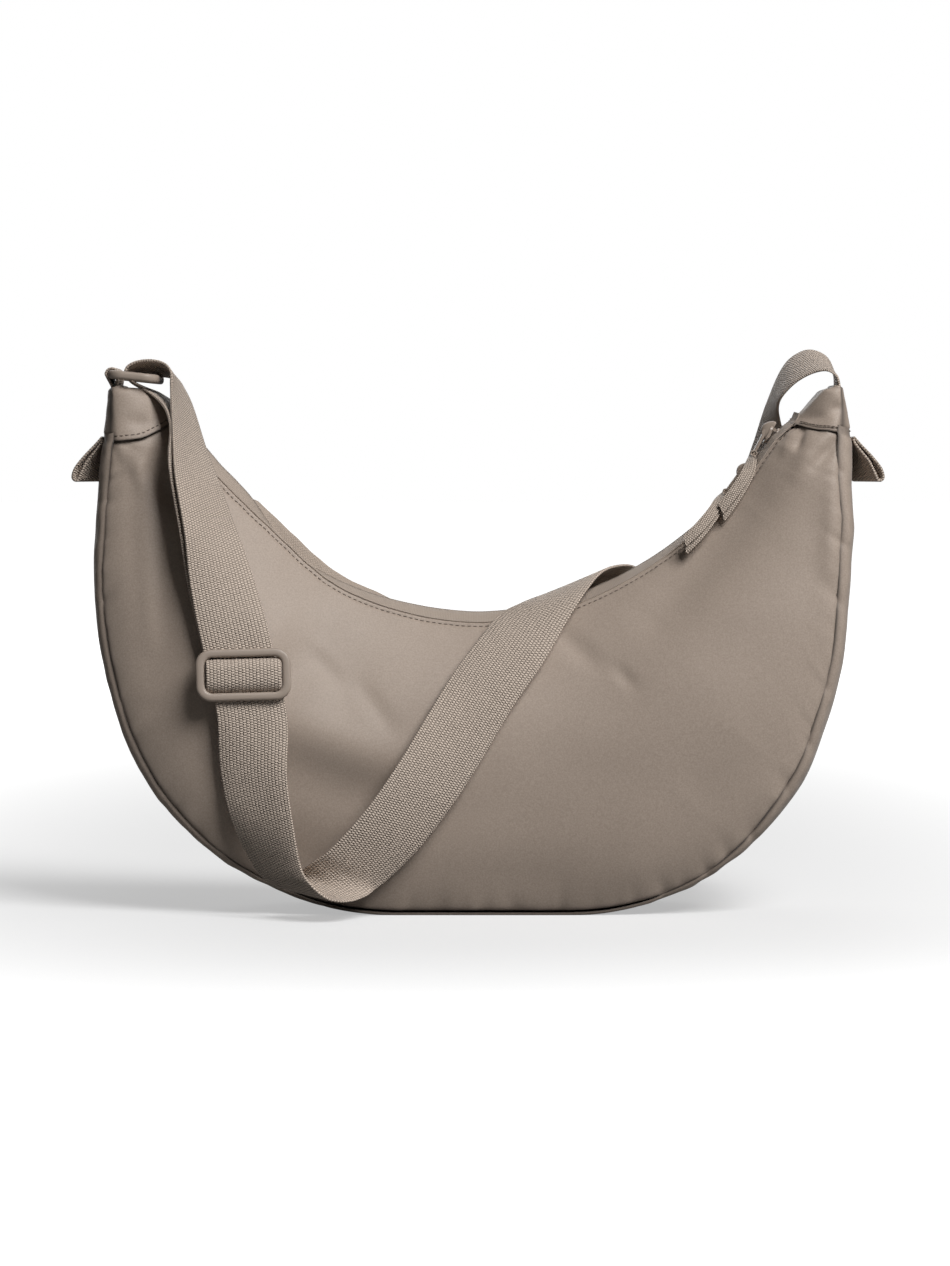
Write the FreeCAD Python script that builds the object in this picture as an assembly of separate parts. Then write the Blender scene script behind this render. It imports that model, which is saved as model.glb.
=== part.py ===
"""Half moon shoulder bag with a zipped concave rim, tip caps and a long adjustable webbing strap.

The bag stands on its base at the origin. +X is the wearer's right seen from the front, -Y is the front.
All sizes are in millimetres.
"""
import FreeCAD, Part
import math
import os

Vector = FreeCAD.Vector
AXIS_X = Vector(1, 0, 0)
AXIS_Y = Vector(0, 1, 0)
AXIS_Z = Vector(0, 0, 1)
ORIGIN = Vector(0, 0, 0)

# Outline of the bag, seen from the front
bag_half_width = 210.0
base_half_length = 44.0
side_bow = 8.0
side_lift = 37.0
tip_height = 289.0
tip_lean = 5.5
tip_length = 28.0
tip_top_length = 7.0
tip_top_inset = 1.4
rim_low_height = 165.0
rim_radius = 184.0

# Depth of the bag
base_half_depth = 48.0
tip_half_depth = 22.0
panel_bulge = 22.0
mouth_half_width = 12.0
rim_fade_share = 1.5

# Cloth
cloth_thickness = 1.2
lining_thickness = 0.6
cloth_gap = 0.3
seam_allowance = 5.0
seam_inset = 1.5
pocket_half_length = 62.0
pocket_depth = 95.0
pocket_drop = 40.0

# Zip
tape_thickness = 0.8
tape_inset = 0.2
coil_radius = 0.9
coil_split = 0.55
zip_end_gap = 0.6
stop_length = 2.0

# Zip sliders
slider_length = 11.0
slider_half_width = 4.6
slider_plate = 1.2
slider_lip = 1.0
slider_clearance = 0.5
slider_post = 0.5
lug_length = 3.6
lug_thickness = 0.8
crown_rise = 1.7
pin_radius = 0.6
barrel_wall = 0.4
hinge_clearance = 0.3
end_slider_drop = 13.2
slider_spacing = 27.0

# Pull tabs and ribbons
tab_length = 13.4
tab_thickness = 1.0
tab_neck_width = 3.0
tab_end_width = 9.0
eye_length = 2.5
ribbon_width = 6.0
ribbon_thickness = 1.6
ribbon_wall = 0.8
ribbon_length = 46.0
ribbon_notch = 2.2

# Webbing
strap_width = 38.0
strap_thickness = 1.4
strap_swing = 24.0
strap_joint_gap = 0.4
tab_loop_width = 30.0
tab_loop_reach = 17.0

# Strap ring and adjuster
frame_length = 52.0
frame_height = 28.5
frame_rail = 4.5
frame_side = 5.0
frame_corner = 8.5
frame_thickness = 4.2
frame_round = 1.2
ring_rise = 6.0
ring_inset = 19.0
ring_tilt = 6.0
bar_height = 4.4
bar_thickness = 2.0
wrap_rise = 4.4
ring_tab_clearance = 1.0

section_count = 19
tip_section_count = 5
depth_point_count = 7
solver_steps = 60
overrun = 10.0

# Values that follow from the sizes above
corner_radius = bag_half_width - base_half_length - side_bow
side_rise = corner_radius + side_lift
side_turn = 2 * math.atan(side_lift / side_bow) - math.pi / 2
side_radius = corner_radius + side_lift / math.cos(side_turn)
side_centre_x = bag_half_width - side_radius
corner_top = corner_radius * (1 - math.cos(side_turn))
lean_rise = tip_height - side_rise
lean_radius = (lean_rise ** 2 + tip_lean ** 2) / (2 * tip_lean)
lean_centre_x = bag_half_width - lean_radius
rim_centre_height = rim_low_height + rim_radius
rim_centre = Vector(0, 0, rim_centre_height)
mid_chord = math.hypot(rim_low_height, base_half_depth - mouth_half_width)
seam_height = tip_height - tip_length
tape_outer = mouth_half_width - cloth_thickness - cloth_gap / 2
tape_radius = rim_radius + tape_inset
coil_centre_radius = tape_radius + tape_thickness / 2
coil_centre_depth = coil_split + coil_radius
tape_inner = coil_centre_depth + coil_radius + cloth_gap
top_plate_radius = coil_centre_radius - coil_radius - slider_clearance
bottom_plate_radius = coil_centre_radius + coil_radius + slider_clearance
barrel_bore = pin_radius + hinge_clearance
barrel_radius = barrel_bore + barrel_wall
crown_radius = top_plate_radius - slider_plate - crown_rise
ribbon_bore = tab_thickness * math.sqrt(2) / 2 + hinge_clearance
ribbon_ring = ribbon_bore + ribbon_wall
frame_back = strap_thickness / 2 + cloth_gap
ring_centre_x = ring_inset - bag_half_width


def half_width_at(height):
    """Half width of the bag's outline at a height."""
    if height < corner_top:
        return base_half_length + math.sqrt(corner_radius ** 2 - (corner_radius - height) ** 2)
    if height < side_rise:
        return side_centre_x + math.sqrt(side_radius ** 2 - (side_rise - height) ** 2)
    return lean_centre_x + math.sqrt(lean_radius ** 2 - (height - side_rise) ** 2)


def seam_depth(height):
    """Half depth of the bag at the gusset seam at a height."""
    return base_half_depth - (base_half_depth - tip_half_depth) * (height / tip_height) ** 2


def outline_angle(height):
    """Angle about the rim's centre, from straight down, of the outline at a height."""
    return math.atan2(half_width_at(height), rim_centre_height - height)


def outline_reach(angle):
    """Distance from the rim's centre to the outline along an angle."""
    inside = rim_radius
    outside = rim_centre_height + bag_half_width
    for _ in range(solver_steps):
        middle = (inside + outside) / 2
        height = rim_centre_height - middle * math.cos(angle)
        if height > 0 and middle * abs(math.sin(angle)) < half_width_at(min(height, tip_height)):
            inside = middle
        else:
            outside = middle
    return inside


seam_angle = outline_angle(seam_height)
tip_angle = outline_angle(tip_height)
tip_reach = math.hypot(half_width_at(tip_height), rim_centre_height - tip_height)
tip_closing = tip_reach - tip_top_length - rim_radius
zip_half_angle = seam_angle - zip_end_gap / rim_radius
end_slider_angle = math.degrees(zip_half_angle - end_slider_drop / rim_radius)
lead_slider_angle = math.degrees(zip_half_angle - (end_slider_drop + slider_spacing) / rim_radius)

# Rows of the tip cap from the tip seam up: how far round the tip, how far closed and how far spread.
TIP_CAP_SHARES = [
    (0.0, 0.0, 0.0),
    (0.3, 0.24, 0.10),
    (0.6, 0.48, 0.30),
    (0.8, 0.64, 0.55),
    (0.92, 0.76, 0.78),
    (1.0, 1.0, 1.0),
]


def cap_rim_height(round_share, closed_share):
    """Height of the tip cap's inner edge at a row of its table."""
    angle = seam_angle + (tip_angle - seam_angle) * round_share
    return rim_centre_height - (rim_radius + tip_closing * closed_share) * math.cos(angle)


cap_crest_height = max(cap_rim_height(row[0], row[1]) for row in TIP_CAP_SHARES)
ring_height = cap_crest_height + ring_rise


class SectionArc:
    """The bulged line that a panel follows in one radial plane."""

    def __init__(self, angle, rim_reach, rim_depth):
        """Lay the arc from the rim to the gusset seam at an angle about the rim's centre."""
        reach = outline_reach(angle) - seam_inset
        depth = seam_depth(rim_centre_height - reach * math.cos(angle))
        along = reach - rim_reach
        across = depth - rim_depth
        chord = math.hypot(along, across)
        rise = panel_bulge * chord / mid_chord
        self.radius = (chord ** 2 / 4 + rise ** 2) / (2 * rise)
        back = (self.radius - rise) / chord
        self.centre_reach = (reach + rim_reach) / 2 + across * back
        self.centre_depth = (depth + rim_depth) / 2 - along * back
        self.start = math.atan2(rim_depth - self.centre_depth, rim_reach - self.centre_reach)
        self.end = math.atan2(depth - self.centre_depth, reach - self.centre_reach)
        if self.start < self.end:
            self.start += 2 * math.pi
        self.length = self.radius * (self.start - self.end)
        self.angle = angle
        self.rim_reach = rim_reach

    def place(self, reach, depth):
        """Point in front of the bag's middle at a reach from the rim's centre and a depth."""
        across = reach * math.sin(self.angle)
        return Vector(across, -depth, rim_centre_height - reach * math.cos(self.angle))

    def point(self, distance, offset):
        """Point at a distance along the arc from the rim, set inwards by an offset."""
        turn = self.start - distance / self.radius
        reach = self.centre_reach + (self.radius - offset) * math.cos(turn)
        depth = self.centre_depth + (self.radius - offset) * math.sin(turn)
        return self.place(reach, depth)

    def closed_wire(self, thickness):
        """Closed section of the whole arc with a wall along the rim that runs in to the bag's middle."""
        wall = self.rim_reach + thickness
        turn = math.acos((wall - self.centre_reach) / (self.radius - thickness))
        first = (self.start - turn) * self.radius
        outside = [self.point(distance, 0) for distance in (0, self.length / 2, self.length)]
        middle = (first + self.length) / 2
        inside = [self.point(distance, thickness) for distance in (self.length, middle, first)]
        outer_meeting = self.place(self.rim_reach, cloth_gap / 2)
        inner_meeting = self.place(wall, cloth_gap / 2)
        edges = [
            Part.LineSegment(outer_meeting, outside[0]).toShape(),
            Part.Arc(*outside).toShape(),
            Part.LineSegment(outside[-1], inside[0]).toShape(),
            Part.Arc(*inside).toShape(),
            Part.LineSegment(inside[-1], inner_meeting).toShape(),
            Part.LineSegment(inner_meeting, outer_meeting).toShape(),
        ]
        return Part.Wire(edges)

    def wire(self, outer, thickness, first, last):
        """Closed section between two offsets and two distances along the arc."""
        middle = (first + last) / 2
        inner = outer + thickness
        outside = [self.point(distance, outer) for distance in (first, middle, last)]
        inside = [self.point(distance, inner) for distance in (last, middle, first)]
        edges = [
            Part.Arc(*outside).toShape(),
            Part.LineSegment(outside[-1], inside[0]).toShape(),
            Part.Arc(*inside).toShape(),
            Part.LineSegment(inside[-1], outside[0]).toShape(),
        ]
        return Part.Wire(edges)


def spread(first, last, count):
    """Evenly spaced values from first to last."""
    return [first + (last - first) * index / (count - 1) for index in range(count)]


def loft(wires):
    """Smooth solid through closed sections."""
    return Part.makeLoft(wires, True, False)


def front_sheet(half_angle, outer, thickness, rim_inset, seam_inset):
    """Sheet that follows the front panel at an offset, inset at the rim and at the seam."""
    wires = []
    for angle in spread(-half_angle, half_angle, section_count):
        arc = SectionArc(angle, rim_radius, mouth_half_width)
        wires.append(arc.wire(outer, thickness, rim_inset, arc.length - seam_inset))
    return loft(wires)


def front_pocket():
    """Slip pocket inside the front lining's line, open along its top edge."""
    outer = cloth_thickness + lining_thickness + 2 * cloth_gap
    half_angle = pocket_half_length / (rim_radius + pocket_drop)
    wires = []
    for angle in spread(-half_angle, half_angle, tip_section_count):
        arc = SectionArc(angle, rim_radius, mouth_half_width)
        wires.append(arc.wire(outer, lining_thickness, pocket_drop, pocket_drop + pocket_depth))
    return loft(wires)


def right_tip_front():
    """Front piece of the right tip cap, flattened round the webbing at its top."""
    first_angle = seam_angle + cloth_gap / rim_radius
    spreading = tip_half_depth - tip_top_inset - mouth_half_width
    wires = []
    for round_share, closed_share, spread_share in TIP_CAP_SHARES:
        angle = first_angle + (tip_angle - first_angle) * round_share
        rim_depth = mouth_half_width + spreading * spread_share
        arc = SectionArc(angle, rim_radius + tip_closing * closed_share, rim_depth)
        wires.append(arc.closed_wire(cloth_thickness))
    return loft(wires)


def outline_half(inset, top):
    """Right half of the outline, inset by a thickness, from the middle of the base up to a height."""
    down = Vector(math.sin(side_turn), 0, -math.cos(side_turn))
    half = side_turn / 2
    corner_mid = Vector(math.sin(half), 0, -math.cos(half))
    bend = (side_turn + math.pi / 2) / 2
    side_mid = Vector(math.sin(bend), 0, -math.cos(bend))
    corner_centre = Vector(base_half_length, 0, corner_radius)
    side_centre = Vector(side_centre_x, 0, side_rise)
    lean_centre = Vector(lean_centre_x, 0, side_rise)
    lean_turn = math.asin((top - side_rise) / (lean_radius - inset))
    lean_end = Vector(math.cos(lean_turn), 0, math.sin(lean_turn))
    lean_mid = Vector(math.cos(lean_turn / 2), 0, math.sin(lean_turn / 2))
    base_end = corner_centre - AXIS_Z * (corner_radius - inset)
    corner_end = corner_centre + down * (corner_radius - inset)
    side_end = side_centre + AXIS_X * (side_radius - inset)
    return [
        ("line", base_end),
        ("arc", corner_centre + corner_mid * (corner_radius - inset), corner_end),
        ("arc", side_centre + side_mid * (side_radius - inset), side_end),
        ("arc", lean_centre + lean_mid * (lean_radius - inset), lean_centre + lean_end * (lean_radius - inset)),
    ]


def half_edges(inset, top):
    """Edges of the outline's right half from the middle of the base up, and its last point."""
    here = AXIS_Z * inset
    edges = []
    for step in outline_half(inset, top):
        target = step[-1]
        if step[0] == "line":
            edges.append(Part.LineSegment(here, target).toShape())
        else:
            edges.append(Part.Arc(here, step[1], target).toShape())
        here = target
    return edges, here


def outline_band(outer, thickness, top):
    """Band along the whole outline between two insets, as deep as the base."""
    outer_edges, outer_end = half_edges(outer, top)
    inner_edges, inner_end = half_edges(outer + thickness, top)
    cap = Part.LineSegment(outer_end, inner_end).toShape()
    middle = Part.LineSegment(AXIS_Z * outer, AXIS_Z * (outer + thickness)).toShape()
    wire = Part.Wire(Part.__sortEdges__(outer_edges + [cap] + inner_edges + [middle]))
    face = Part.Face(wire)
    face.translate(AXIS_Y * -base_half_depth)
    half = face.extrude(AXIS_Y * (2 * base_half_depth))
    other = half.mirror(ORIGIN, AXIS_X)
    return half.fuse(other).removeSplitter()


def depth_prism(inset, bottom, top):
    """Prism across the bag that trims a band to the seam's depth, less an inset, between two heights."""
    heights = spread(bottom, top, depth_point_count)
    right = [Vector(0, seam_depth(height) - inset, height) for height in heights]
    left = [Vector(0, inset - seam_depth(height), height) for height in reversed(heights)]
    edges = []
    for points in (right, left):
        curve = Part.BSplineCurve()
        curve.interpolate(points)
        edges.append(curve.toShape())
    edges.insert(1, Part.LineSegment(right[-1], left[0]).toShape())
    edges.append(Part.LineSegment(left[-1], right[0]).toShape())
    face = Part.Face(Part.Wire(edges))
    reach = bag_half_width + overrun
    face.translate(AXIS_X * -reach)
    return face.extrude(AXIS_X * (2 * reach))


def gusset_sheet(outer, thickness, depth_inset, bottom, top):
    """Gusset band between two heights, trimmed to the seam."""
    band = outline_band(outer, thickness, top)
    return band.common(depth_prism(depth_inset, bottom, top))


def ring_sector(face, half_angle):
    """Sweep a face that lies straight below the rim's centre along the zip."""
    face.rotate(rim_centre, -AXIS_Y, -math.degrees(half_angle))
    return face.revolve(rim_centre, -AXIS_Y, 2 * math.degrees(half_angle))


def front_tape():
    """Front zip tape between the coil and the panel's rim."""
    top = rim_centre_height - tape_radius
    bottom = top - tape_thickness
    corners = [
        Vector(0, -tape_inner, top),
        Vector(0, -tape_outer, top),
        Vector(0, -tape_outer, bottom),
        Vector(0, -tape_inner, bottom),
    ]
    face = Part.Face(Part.makePolygon(corners + corners[:1]))
    return ring_sector(face, zip_half_angle)


def front_coil():
    """Front half of the zip coil."""
    centre = Vector(0, -coil_centre_depth, rim_centre_height - coil_centre_radius)
    circle = Part.Wire(Part.makeCircle(coil_radius, centre, AXIS_X))
    return ring_sector(Part.Face(circle), zip_half_angle)


def along_zip(shape, angle):
    """Turn a shape made straight below the rim's centre to its place along the zip."""
    shape.rotate(rim_centre, -AXIS_Y, angle)
    return shape


def zip_stops():
    """Stop across both coils at each end of the zip."""
    half_depth = tape_inner
    low = rim_centre_height - coil_centre_radius - coil_radius - slider_clearance
    stops = []
    for side in (-1, 1):
        corner = Vector(0, -half_depth, low - tape_thickness)
        stop = Part.makeBox(stop_length, 2 * half_depth, tape_thickness, corner)
        stop.translate(AXIS_X * -stop_length / 2)
        inset = (stop_length / 2 + zip_end_gap) / rim_radius
        stops.append(along_zip(stop, side * math.degrees(zip_half_angle - inset)))
    return Part.Compound(stops)


def box_between(x_range, y_range, z_range):
    """Box between pairs of limits."""
    size = [limits[1] - limits[0] for limits in (x_range, y_range, z_range)]
    return Part.makeBox(*size, Vector(x_range[0], y_range[0], z_range[0]))


def slider_body(angle):
    """Zip slider: two plates joined by a post, with a pinned crown on the top plate."""
    half = slider_length / 2
    top = rim_centre_height - top_plate_radius
    bottom = rim_centre_height - bottom_plate_radius
    shape = box_between((-half, half), (-slider_half_width, slider_half_width), (top, top + slider_plate))
    base = box_between((-half, half), (-slider_half_width, slider_half_width), (bottom - slider_plate, bottom))
    corners = [edge for edge in shape.Edges if abs(edge.tangentAt(edge.FirstParameter).z) > coil_split]
    shape = shape.makeFillet(slider_half_width - slider_lip, corners)
    corners = [edge for edge in base.Edges if abs(edge.tangentAt(edge.FirstParameter).z) > coil_split]
    base = base.makeFillet(slider_half_width - slider_lip, corners)
    post = box_between((half / 2, half - slider_lip), (-slider_post / 2, slider_post / 2), (bottom, top))
    pieces = [base, post]
    lip_end = half - (slider_half_width - slider_lip)
    for side in (-1, 1):
        edges = sorted((side * slider_half_width, side * (slider_half_width - slider_lip)))
        pieces.append(box_between((-lip_end, lip_end), edges, (top - slider_clearance, top)))
        inner = barrel_length() / 2 + hinge_clearance
        lug_edges = sorted((side * inner, side * (inner + lug_thickness)))
        pieces.append(crown_lug(lug_edges, top + slider_plate))
    pin_half = barrel_length() / 2 + hinge_clearance + lug_thickness
    pin_start = Vector(0, -pin_half, rim_centre_height - crown_radius)
    pieces.append(Part.makeCylinder(pin_radius, 2 * pin_half, pin_start, AXIS_Y))
    return along_zip(shape.multiFuse(pieces).removeSplitter(), angle)


def barrel_length():
    """Length of the pull tab's rolled barrel along the crown pin."""
    return tab_neck_width


def crown_lug(depth_range, foot):
    """Round-topped lug that holds one end of the crown pin."""
    centre_height = rim_centre_height - crown_radius
    depth = depth_range[1] - depth_range[0]
    post = box_between((-lug_length / 2, lug_length / 2), depth_range, (foot, centre_height))
    head = Part.makeCylinder(lug_length / 2, depth, Vector(0, depth_range[0], centre_height), AXIS_Y)
    return post.fuse(head)


def pull_tab(angle):
    """Pull tab rolled round the crown pin, with an eye for the ribbon at its far end."""
    height = rim_centre_height - crown_radius
    half_neck = tab_neck_width / 2
    half_end = tab_end_width / 2
    half_bar = tab_thickness / 2
    start = Vector(0, -half_neck, height)
    barrel = Part.makeCylinder(barrel_radius, tab_neck_width, start, AXIS_Y)
    eye_start = half_bar - tab_length + eye_length
    shoulder = eye_start + tab_thickness
    outline = [
        Vector(-barrel_bore, -half_neck, 0),
        Vector(shoulder + half_neck, -half_neck, 0),
        Vector(shoulder, -half_end, 0),
        Vector(-tab_length - half_bar, -half_end, 0),
        Vector(-tab_length - half_bar, half_end, 0),
        Vector(shoulder, half_end, 0),
        Vector(shoulder + half_neck, half_neck, 0),
        Vector(-barrel_bore, half_neck, 0),
    ]
    plate = Part.Face(Part.makePolygon(outline + outline[:1])).extrude(AXIS_Z * tab_thickness)
    plate.translate(AXIS_Z * (height - half_bar))
    half_eye = half_end - tab_thickness
    levels = (height - tab_thickness, height + tab_thickness)
    eye = box_between((half_bar - tab_length, eye_start), (-half_eye, half_eye), levels)
    bore = Part.makeCylinder(barrel_bore, 2 * tab_neck_width, start - AXIS_Y * half_neck, AXIS_Y)
    return along_zip(plate.fuse(barrel).cut(eye).cut(bore).removeSplitter(), angle)


def band_sections(stations, width, thickness):
    """Corners of the webbing at stations, each a centre and a direction across the webbing."""
    sections = []
    last = len(stations) - 1
    for index, (centre, across) in enumerate(stations):
        ahead = stations[min(index + 1, last)][0]
        behind = stations[max(index - 1, 0)][0]
        normal = (ahead - behind).cross(across).normalize() * (thickness / 2)
        side = Vector(across).normalize() * (width / 2)
        corners = [
            centre + side + normal,
            centre + side - normal,
            centre - side - normal,
            centre - side + normal,
        ]
        sections.append(corners + corners[:1])
    return sections


def band_solid(sections):
    """Closed solid of ruled faces through sections with as many corners each."""
    faces = [Part.Face(Part.makePolygon(corners)) for corners in (sections[0], sections[-1])]
    for here, ahead in zip(sections, sections[1:]):
        for side in range(len(here) - 1):
            near = Part.LineSegment(here[side], here[side + 1]).toShape()
            far = Part.LineSegment(ahead[side], ahead[side + 1]).toShape()
            faces.append(Part.makeRuledSurface(near, far))
    shell = Part.Shell(faces)
    shell.sewShape()
    solid = Part.Solid(Part.Shell(shell.Faces))
    if solid.Volume < 0:
        solid.reverse()
    return solid


def band(stations, width, thickness):
    """Webbing through stations."""
    return band_solid(band_sections(stations, width, thickness))


def ribbon(angle, route_shares):
    """Ribbon puller looped through the tab's eye, running along the rim in front of the panel.

    Each row holds shares of the ribbon's length, the mouth's half width and the slider's half width
    (how far along the rim, in front of the zip and below the tab), and the parts of the
    direction across the ribbon along the rim, forwards to back and up.
    """
    height = rim_centre_height - crown_radius
    half = ribbon_width / 2
    start = Vector(-tab_length, -half, height)
    loop = Part.makeCylinder(ribbon_ring, ribbon_width, start, AXIS_Y)
    stations = []
    for along_share, front_share, drop_share, across in route_shares:
        turn = -(tab_length + ribbon_bore + along_share * ribbon_length) / rim_radius
        reach = crown_radius + drop_share * slider_half_width
        centre = Vector(reach * math.sin(turn), -front_share * mouth_half_width, 0)
        centre.z = rim_centre_height - reach * math.cos(turn)
        tangent = Vector(math.cos(turn), 0, math.sin(turn))
        inward = Vector(-math.sin(turn), 0, math.cos(turn))
        stations.append((centre, tangent * across[0] + AXIS_Y * across[1] + inward * across[2]))
    tail = band(stations, ribbon_width, ribbon_thickness)
    end = stations[-1]
    run = (end[0] - stations[-2][0]).normalize()
    notch_points = [
        end[0] + run * ribbon_thickness + end[1] * half,
        end[0] - run * ribbon_notch,
        end[0] + run * ribbon_thickness - end[1] * half,
    ]
    notch = Part.Face(Part.makePolygon(notch_points + notch_points[:1]))
    normal = run.cross(end[1]).normalize() * ribbon_width
    notch.translate(-normal / 2)
    tail = tail.cut(notch.extrude(normal))
    bore = Part.makeCylinder(ribbon_bore, 2 * ribbon_width, start - AXIS_Y * half, AXIS_Y)
    return along_zip(loop.fuse(tail).cut(bore).removeSplitter(), angle)


END_RIBBON_SHARES = [
    (0.0, 0.0, 0.0, (0, 1, 0)),
    (0.15, 0.72, 0.35, (-0.6, 0.75, 0.1)),
    (0.34, 1.3, 0.85, (-0.2, 0.6, 0.75)),
    (0.65, 1.56, 1.25, (0, 0.3, 0.95)),
    (1.0, 1.64, 1.45, (0, 0.25, 0.97)),
]
LEAD_RIBBON_SHARES = [
    (0.0, 0.0, 0.0, (0, 1, 0)),
    (0.17, 0.60, 0.3, (-0.5, 0.8, 0.1)),
    (0.39, 1.20, 0.65, (-0.25, 0.75, 0.6)),
    (0.68, 1.44, 1.15, (0, 0.35, 0.94)),
    (1.0, 1.52, 1.35, (0, 0.3, 0.95)),
]


def depth_at(across, height):
    """Half depth of the bag's outside at a place, fading to nothing above the rim."""
    reach = math.hypot(across, rim_centre_height - height)
    if reach < rim_radius:
        return max(0, mouth_half_width - (rim_radius - reach) * rim_fade_share)
    angle = min(abs(math.atan2(across, rim_centre_height - height)), tip_angle)
    arc = SectionArc(angle, rim_radius, mouth_half_width)
    inside = arc.radius ** 2 - (reach - arc.centre_reach) ** 2
    return max(0, arc.centre_depth + math.sqrt(max(0, inside)))


def strap_edge(shares, side):
    """Point on an edge of the strap from shares of the half width, the height and the strap's swing."""
    across = shares[0] * bag_half_width
    height = shares[1] * tip_height
    depth = depth_at(across, height) if side else 0
    return Vector(across, (side or -1) * (depth + shares[2] * strap_swing), height)


def strap_stations(rows, side):
    """Stations of the strap from rows of two edge points each, on the front, the back or in the air."""
    stations = []
    for row in rows:
        first = strap_edge(row[:3], side)
        second = strap_edge(row[3:], side)
        stations.append(((first + second) / 2, second - first))
    return stations


# Rows of the strap's two edges. Each edge has its share of the half width, of the height and of the swing.
FRONT_DROP_SHARES = [
    (-0.805, 1.010, 0.72, -0.800, 1.018, -0.86),
    (-0.805, 0.987, 0.68, -0.776, 0.997, -0.66),
    (-0.795, 0.882, 1.00, -0.723, 0.890, 0.24),
    (-0.790, 0.838, 1.00, -0.681, 0.817, 0.38),
    (-0.764, 0.723, 0.96, -0.631, 0.730, 0.42),
    (-0.750, 0.620, 0.62, -0.573, 0.618, 0.50),
    (-0.724, 0.535, 0.48, -0.543, 0.538, 0.62),
    (-0.678, 0.385, 0.46, -0.497, 0.388, 0.38),
    (-0.667, 0.280, 0.26, -0.498, 0.280, 0.62),
    (-0.645, 0.197, 0.26, -0.483, 0.202, 0.80),
    (-0.590, 0.107, 0.20, -0.460, 0.107, 1.10),
]
FRONT_FOLD_SHARES = [
    (-0.557, 0.076, 0.35, -0.431, 0.074, 1.33),
    (-0.524, 0.062, 0.48, -0.388, 0.048, 1.37),
    (-0.490, 0.063, 0.42, -0.348, 0.041, 1.20),
    (-0.464, 0.082, 0.25, -0.305, 0.044, 0.70),
    (-0.433, 0.110, 0.18, -0.267, 0.056, 0.32),
    (-0.390, 0.136, 0.16, -0.229, 0.073, 0.20),
]
FRONT_RISE_SHARES = [
    (-0.290, 0.215, 0.16, -0.148, 0.135, 0.16),
    (-0.195, 0.311, 0.16, -0.045, 0.239, 0.16),
    (-0.064, 0.464, 0.22, 0.086, 0.394, 0.22),
]
RIM_CREST_SHARES = [
    (0.005, 0.536, 0.32, 0.167, 0.478, 0.26),
    (0.057, 0.585, 0.30, 0.225, 0.557, 0.28),
    (0.105, 0.609, 0.36, 0.276, 0.616, 0.34),
    (0.162, 0.624, -0.05, 0.329, 0.662, 0.18),
    (0.224, 0.624, -0.60, 0.390, 0.672, -0.36),
]
BACK_DROP_SHARES = [
    (0.286, 0.585, 0.34, 0.443, 0.654, 0.30),
    (0.371, 0.526, 0.24, 0.505, 0.612, 0.24),
    (0.467, 0.450, 0.22, 0.605, 0.533, 0.22),
    (0.514, 0.360, 0.22, 0.676, 0.415, 0.26),
    (0.557, 0.291, 0.26, 0.729, 0.329, 0.36),
]
BACK_FOLD_SHARES = [
    (0.600, 0.242, 0.45, 0.776, 0.266, 0.60),
    (0.633, 0.218, 0.75, 0.814, 0.228, 0.90),
    (0.657, 0.228, 1.02, 0.838, 0.221, 1.15),
    (0.667, 0.263, 1.08, 0.848, 0.249, 1.22),
    (0.671, 0.329, 0.95, 0.852, 0.318, 1.12),
]
BACK_RISE_SHARES = [
    (0.676, 0.450, 0.80, 0.852, 0.450, 0.84),
    (0.690, 0.588, 0.86, 0.848, 0.595, 0.74),
    (0.714, 0.727, 1.10, 0.843, 0.744, 0.46),
    (0.743, 0.830, 1.34, 0.829, 0.848, 0.34),
]
TIP_ARCH_SHARES = [
    (0.764, 0.913, -2.38, 0.808, 0.936, -1.24),
    (0.790, 0.986, -1.90, 0.803, 0.980, -0.48),
    (0.833, 1.058, -1.52, 0.833, 1.010, -0.05),
    (0.886, 1.083, -1.25, 0.876, 1.031, 0.25),
    (0.933, 1.070, -1.00, 0.919, 1.040, 0.52),
    (0.955, 1.035, -0.84, 0.945, 1.030, 0.72),
    (0.957, 1.010, -0.79, 0.953, 1.010, 0.79),
    (0.957, 0.985, -0.79, 0.955, 0.985, 0.79),
]
STRAP_RETURN_SHARES = [
    (-0.829, 0.977, 0.68, -0.824, 0.988, -0.84),
    (-0.815, 0.943, 0.86, -0.776, 0.955, -0.40),
    (-0.806, 0.880, 0.84, -0.736, 0.885, 0.13),
    (-0.801, 0.836, 0.84, -0.692, 0.814, 0.22),
    (-0.775, 0.720, 0.80, -0.642, 0.727, 0.27),
    (-0.757, 0.620, 0.46, -0.580, 0.618, 0.34),
    (-0.727, 0.535, 0.32, -0.546, 0.538, 0.46),
    (-0.706, 0.464, 0.30, -0.525, 0.464, 0.34),
]
# The loop round the ring's free bar, as shares of the ring's length along X and of its height along Z.
RING_LOOP_SHARES = [
    (0.79, -0.085),
    (0.755, 0.105),
    (0.597, 0.298),
    (0.351, 0.396),
    (0.070, 0.393),
    (-0.133, 0.263),
    (-0.186, 0.070),
    (-0.088, -0.105),
    (0.140, -0.218),
    (0.386, -0.295),
    (0.586, -0.449),
]
# A side tab's loop from the gusset out to its fold and back, as shares of its reach.
SIDE_TAB_SHARES = [
    (0.0, 0.0),
    (0.35, -0.14),
    (0.75, -0.46),
    (1.02, -0.86),
    (1.08, -1.12),
    (0.98, -1.32),
    (0.74, -1.38),
    (0.48, -1.22),
    (0.22, -0.80),
    (0.04, -0.46),
    (0.0, -0.30),
]


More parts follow.
